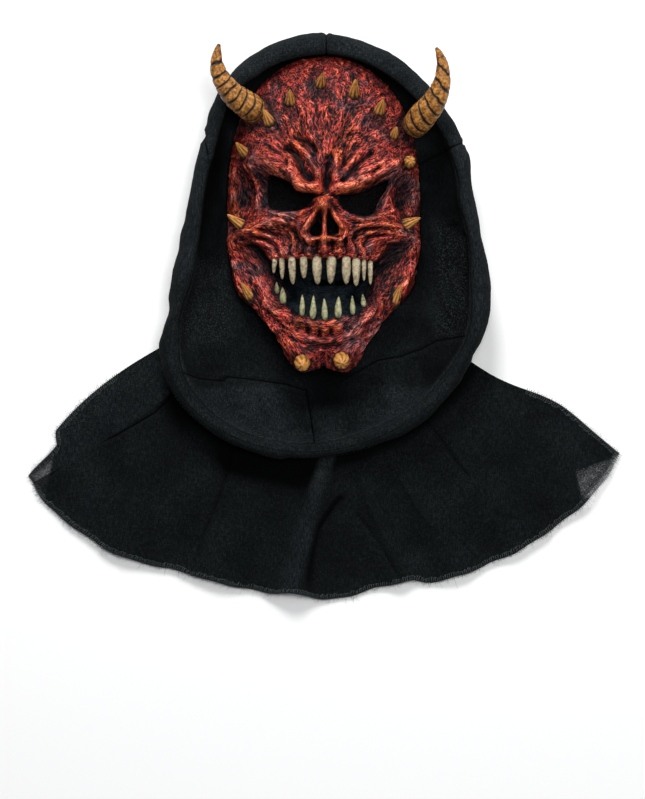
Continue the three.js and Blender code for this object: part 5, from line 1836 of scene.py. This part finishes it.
def make_cape_front():
    angle, radius, height, v = cape_front_grid(*CAPE_FRONT_GRID)
    points = plan_points(angle, radius, height)
    x = points[..., 0]
    y = points[..., 1]
    slow = layered_noise(x, y, (34.0, 1.4), (13.0, 0.6), (5.0, 0.22))
    gather_phase = np.radians(angle * GATHERS) + PlanNoise(30.0)(x, y) * 1.6
    gathers = GATHER_HEIGHT * np.cos(gather_phase) * (1 - smooth(0.1, 0.75, v))
    lift = slow + gathers + folded_relief(x, y, CAPE_CREASES) + seam_relief(x, y, CAPE_SEAMS)
    points[..., 2] = np.maximum(points[..., 2] + lift * smooth(0, 0.08, v) + 0.9, FRONT_UNDERSIDE + 0.2)
    sheer = tip_sheerness(x, y)
    # Painted shadow under the rim's overhang and left of the ridge, painted shade in the valley and painted
    # light on the ridge's crest, over a darker tone of the whole cape
    under_rim = smooth(mix(16, 30, smooth(20, -30, x)), 2, radius - hood_outer_radius(angle))
    valley = near_path(x, y, RIDGE_VALLEY, 4.5)
    lit_crest = near_path(x, y, RIDGE_CREST, mix(7.5, 10.5, smooth(-140, -240, y)), 4)
    beside = near_path(x, y, RIDGE_SHADOW, 13)
    clouded = 0.10 * PlanNoise(24.0)(x, y)
    shaded = 0.56 + clouded + 0.45 * under_rim + 0.28 * valley + 0.42 * beside
    gloom = np.clip(shaded * (1 - lit_crest) + 0.22 * lit_crest, 0, 1) * (1 - sheer)
    return add_cloth(
        "cape_front_gauze", points, False, SHEER_GAUZE, "cape_front", CAPE_SEAMS, CAPE_LINES, flip=True,
        sheer=sheer, gloom=gloom,
    )


def make_cape_back():
    columns, rows = CAPE_BACK_GRID
    u, v = np.meshgrid(np.linspace(0, 1, columns + 1), np.linspace(0, 1, rows + 1))
    neck_right = right_edge_angle(BACK_TOP_RADIUS) - BACK_RIGHT_SHORTER
    hem_right = right_edge_angle(CORNER_RADIUS) - BACK_RIGHT_SHORTER
    neck_angle = mix(back_edge_angle(BACK_TOP_RADIUS), neck_right, u)
    start = hood_outer_radius(neck_angle) * HOOD_FOOT_SHARE + 1.0
    hem = hem_radius(mix(back_edge_angle(CORNER_RADIUS), hem_right, u)) - 3 * smooth(0, 0.1, u)
    radius = mix(start, hem, v)
    angle = mix(back_edge_angle(radius), right_edge_angle(radius) - BACK_RIGHT_SHORTER, u)
    points = plan_points(angle, radius, np.full(radius.shape, BACK_HEIGHT))
    x = points[..., 0]
    y = points[..., 1]
    points[..., 2] += layered_noise(x, y, (18.0, 0.5), (6.0, 0.2)) + CLOTH
    shoulder = smooth(-150, -165, x) * smooth(16, 4, distance_to_path(x, y, SHOULDER_LINE))
    return add_cloth(
        "cape_back_gauze", points, False, SHEER_GAUZE, "cape_back", [], flip=True,
        sheer=tip_sheerness(x, y), open_weave=0.6 * shoulder, gloom=0.35,
    )


cape_front = make_cape_front()
cape_back = make_cape_back()


# Stitching and fringe

def path_points(path, step):
    """Evenly spaced points, with directions, along an open path of 3-D points."""
    path = np.asarray(path, float)
    lengths = np.linalg.norm(np.diff(path, axis=0), axis=1)
    total = np.concatenate([[0], np.cumsum(lengths)])
    places = np.arange(step / 2, total[-1], step)
    points = np.stack([np.interp(places, total, path[:, axis]) for axis in range(3)], axis=1)
    ahead = np.stack([np.interp(places + 0.5, total, path[:, axis]) for axis in range(3)], axis=1)
    behind = np.stack([np.interp(places - 0.5, total, path[:, axis]) for axis in range(3)], axis=1)
    way = ahead - behind
    return points, way / np.maximum(np.linalg.norm(way, axis=1, keepdims=True), 1e-9)


def surface_line(obj, corners):
    """Points of a sheet's mesh, in millimetres, for a row of corner numbers."""
    coordinates = np.empty(len(obj.data.vertices) * 3, np.float32)
    obj.data.vertices.foreach_get("co", coordinates)
    return coordinates.reshape(-1, 3)[corners] / MM


THREAD_STATIONS = 4


def add_threads(piece, starts, bends, ends, radius, sides=4):
    """Short curved threads from start over bend to end."""
    share = np.linspace(0, 1, THREAD_STATIONS)[:, None]
    radii = np.full(THREAD_STATIONS, radius)
    for start, bend, end in zip(starts, bends, ends):
        middles = (1 - share) ** 2 * start + 2 * share * (1 - share) * bend + share**2 * end
        points, quads, _, _ = swept_rings(middles, np.gradient(middles, axis=0), radii, sides)
        piece.add(points, quads, 0)


STITCH_PITCH = 2.0
FIBRES_PER_STITCH = 2.2


def hem_piece(name, sheet, edge):
    """Overlock stitches and loose fibres along the open edge of a cape layer."""
    stitches = Piece()
    fringe = Piece()
    points, way = path_points(surface_line(sheet, edge), STITCH_PITCH)
    side = np.cross(way, [0, 0, 1.0])
    side[:, 2] = 0
    side /= np.linalg.norm(side, axis=1, keepdims=True)
    jitter = rng.uniform(-0.55, 0.55, (len(points), 3)) * [1, 1, 0.3]
    length = rng.uniform(2.8, 4.8, (len(points), 1))
    overhang = rng.uniform(0.2, 1.5, (len(points), 1))
    outer = points + side * overhang + [0, 0, 0.1]
    inner = points - side * length + way * 0.9 + [0, 0, 0.35] + jitter
    bend = (outer + inner) / 2 + [0, 0, 1.1]
    add_threads(stitches, outer, bend, inner, 0.26)
    loop_bend = inner + way * 0.6 - side * 0.4 + [0, 0, 0.3]
    add_threads(stitches, inner[:-1], loop_bend[:-1], inner[1:], 0.15)
    count = int(len(points) * FIBRES_PER_STITCH)
    pick = rng.integers(0, len(points), count)
    root = points[pick] + side[pick] * 0.2
    reach = rng.gamma(2.2, 0.9, count)[:, None]
    sway = rng.normal(0, 0.6, (count, 1)) * way[pick]
    end = root + side[pick] * reach + sway * reach * 0.8
    bend = root + side[pick] * reach * 0.5 + way[pick] * rng.normal(0, 0.5, (count, 1)) + [0, 0, 0.4]
    end[:, 2] = np.maximum(end[:, 2], 0.3)
    add_threads(fringe, root, bend, end, 0.07, sides=3)
    stitch_object = stitches.build(name + "_overlock", [HEM])
    fringe_object = fringe.build(name + "_fringe", [HEM])
    for obj in (stitch_object, fringe_object):
        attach(obj, "root")
    return stitch_object, fringe_object


def grid_edges(columns, rows):
    """Corner numbers of the left side, the far edge and the right side of a sheet's grid."""
    across = columns + 1
    left = np.arange(rows + 1) * across
    far = rows * across + np.arange(columns + 1)
    right = np.arange(rows, -1, -1) * across + columns
    return left, far, right


# Open part of the sides: rows up from the front layer's hem, and down from the back layer's neck
FRONT_OPEN_ROWS = 60
BACK_OPEN_FROM = 22

_, front_hem, front_right = grid_edges(*CAPE_FRONT_GRID)
back_left, back_hem, _ = grid_edges(*CAPE_BACK_GRID)
front_edge = np.concatenate([front_hem, front_right[1:FRONT_OPEN_ROWS]])
back_edge = np.concatenate([back_left[BACK_OPEN_FROM:], back_hem[1:]])
front_trim = hem_piece("cape_front", cape_front, front_edge)
back_trim = hem_piece("cape_back", cape_back, back_edge)


def stitch_run(piece, path, length, gap):
    """Running stitches along a line just above a sheet."""
    points, way = path_points(path, length + gap)
    starts = points - way * length / 2
    ends = points + way * length / 2
    add_threads(piece, starts, points + [0, 0, 0.35], ends, 0.22)


# Two lines of stitches: profile row, first and last angle
TOPSTITCH_LINES = [(4.9, 222, 318), (7.6, 196, 344)]
TOPSTITCH_POINTS = 400


def make_topstitch():
    piece = Piece()
    for row, first, last in TOPSTITCH_LINES:
        angles = np.linspace(first, last, TOPSTITCH_POINTS)
        radii, heights = hood_controls(angles)
        place = np.array([row])
        line = plan_points(angles, along_profile(radii, place)[0], along_profile(heights, place)[0])
        line[:, 2] += 0.6
        stitch_run(piece, line, 2.4, 1.1)
    obj = piece.build("rim_topstitch", [STITCH])
    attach(obj, "root")
    return obj


topstitch = make_topstitch()


# Floor, light and camera

# Half-width of the floor, and how far it lies below the cloth, in metres
FLOOR_HALF = 6.0
FLOOR_DROP = 0.0002
FLOOR_COLOUR = (0.93, 0.93, 0.93, 1)

floor_mesh = bpy.data.meshes.new("floor")
floor_corners = [(FLOOR_HALF * x, FLOOR_HALF * y, 0) for x, y in ((-1, -1), (1, -1), (1, 1), (-1, 1))]
floor_mesh.from_pydata(floor_corners, [], [(0, 1, 2, 3)])
floor = bpy.data.objects.new("floor", floor_mesh)
bpy.context.scene.collection.objects.link(floor)
floor.location.z = -FLOOR_DROP
floor_material, _, floor_shader = new_material("pale_floor")
floor_shader.inputs["Base Color"].default_value = FLOOR_COLOUR
floor_shader.inputs["Roughness"].default_value = 0.9
floor_mesh.materials.append(floor_material)


SKY_COLOUR = (0.92, 0.95, 1.0, 1)
SKY_STRENGTH = 0.15
# Name, place and aim in millimetres, width in metres and power in watts
LIGHTS = [
    ("key", (-300, 1900, 1650), (0, 20, 60), 0.8, 54),
    ("top", (300, 260, 2700), (0, -100, 60), 0.9, 38),
    ("side", (1900, 500, 1300), (0, 0, 60), 1.2, 8),
]


def add_light(name, place, target, size, power):
    light = bpy.data.lights.new(name, "AREA")
    light.shape = "DISK"
    light.size = size
    light.energy = power
    obj = bpy.data.objects.new(name, light)
    bpy.context.scene.collection.objects.link(obj)
    obj.location = [v * MM for v in place]
    direction = mathutils.Vector(target) - mathutils.Vector(place)
    obj.rotation_euler = direction.to_track_quat("-Z", "Y").to_euler()


for lamp in LIGHTS:
    add_light(*lamp)

world = bpy.data.worlds.new("studio")
bpy.context.scene.world = world
world.use_nodes = True
background = world.node_tree.nodes["Background"]
background.inputs["Color"].default_value = SKY_COLOUR
background.inputs["Strength"].default_value = SKY_STRENGTH

camera_data = bpy.data.cameras.new("camera")
camera_data.sensor_width = SENSOR
frame_height = MM_PER_PIXEL * IMAGE_HEIGHT
camera_data.lens = SENSOR * CAMERA_DISTANCE / frame_height
camera_data.clip_end = VIEW_REACH
camera = bpy.data.objects.new("camera", camera_data)
camera.location = (CAMERA_X * MM, CAMERA_Y * MM, (CAMERA_DISTANCE + FACE_PLANE) * MM)
bpy.context.scene.collection.objects.link(camera)
bpy.context.scene.camera = camera

bpy.context.scene.view_settings.view_transform = "Standard"
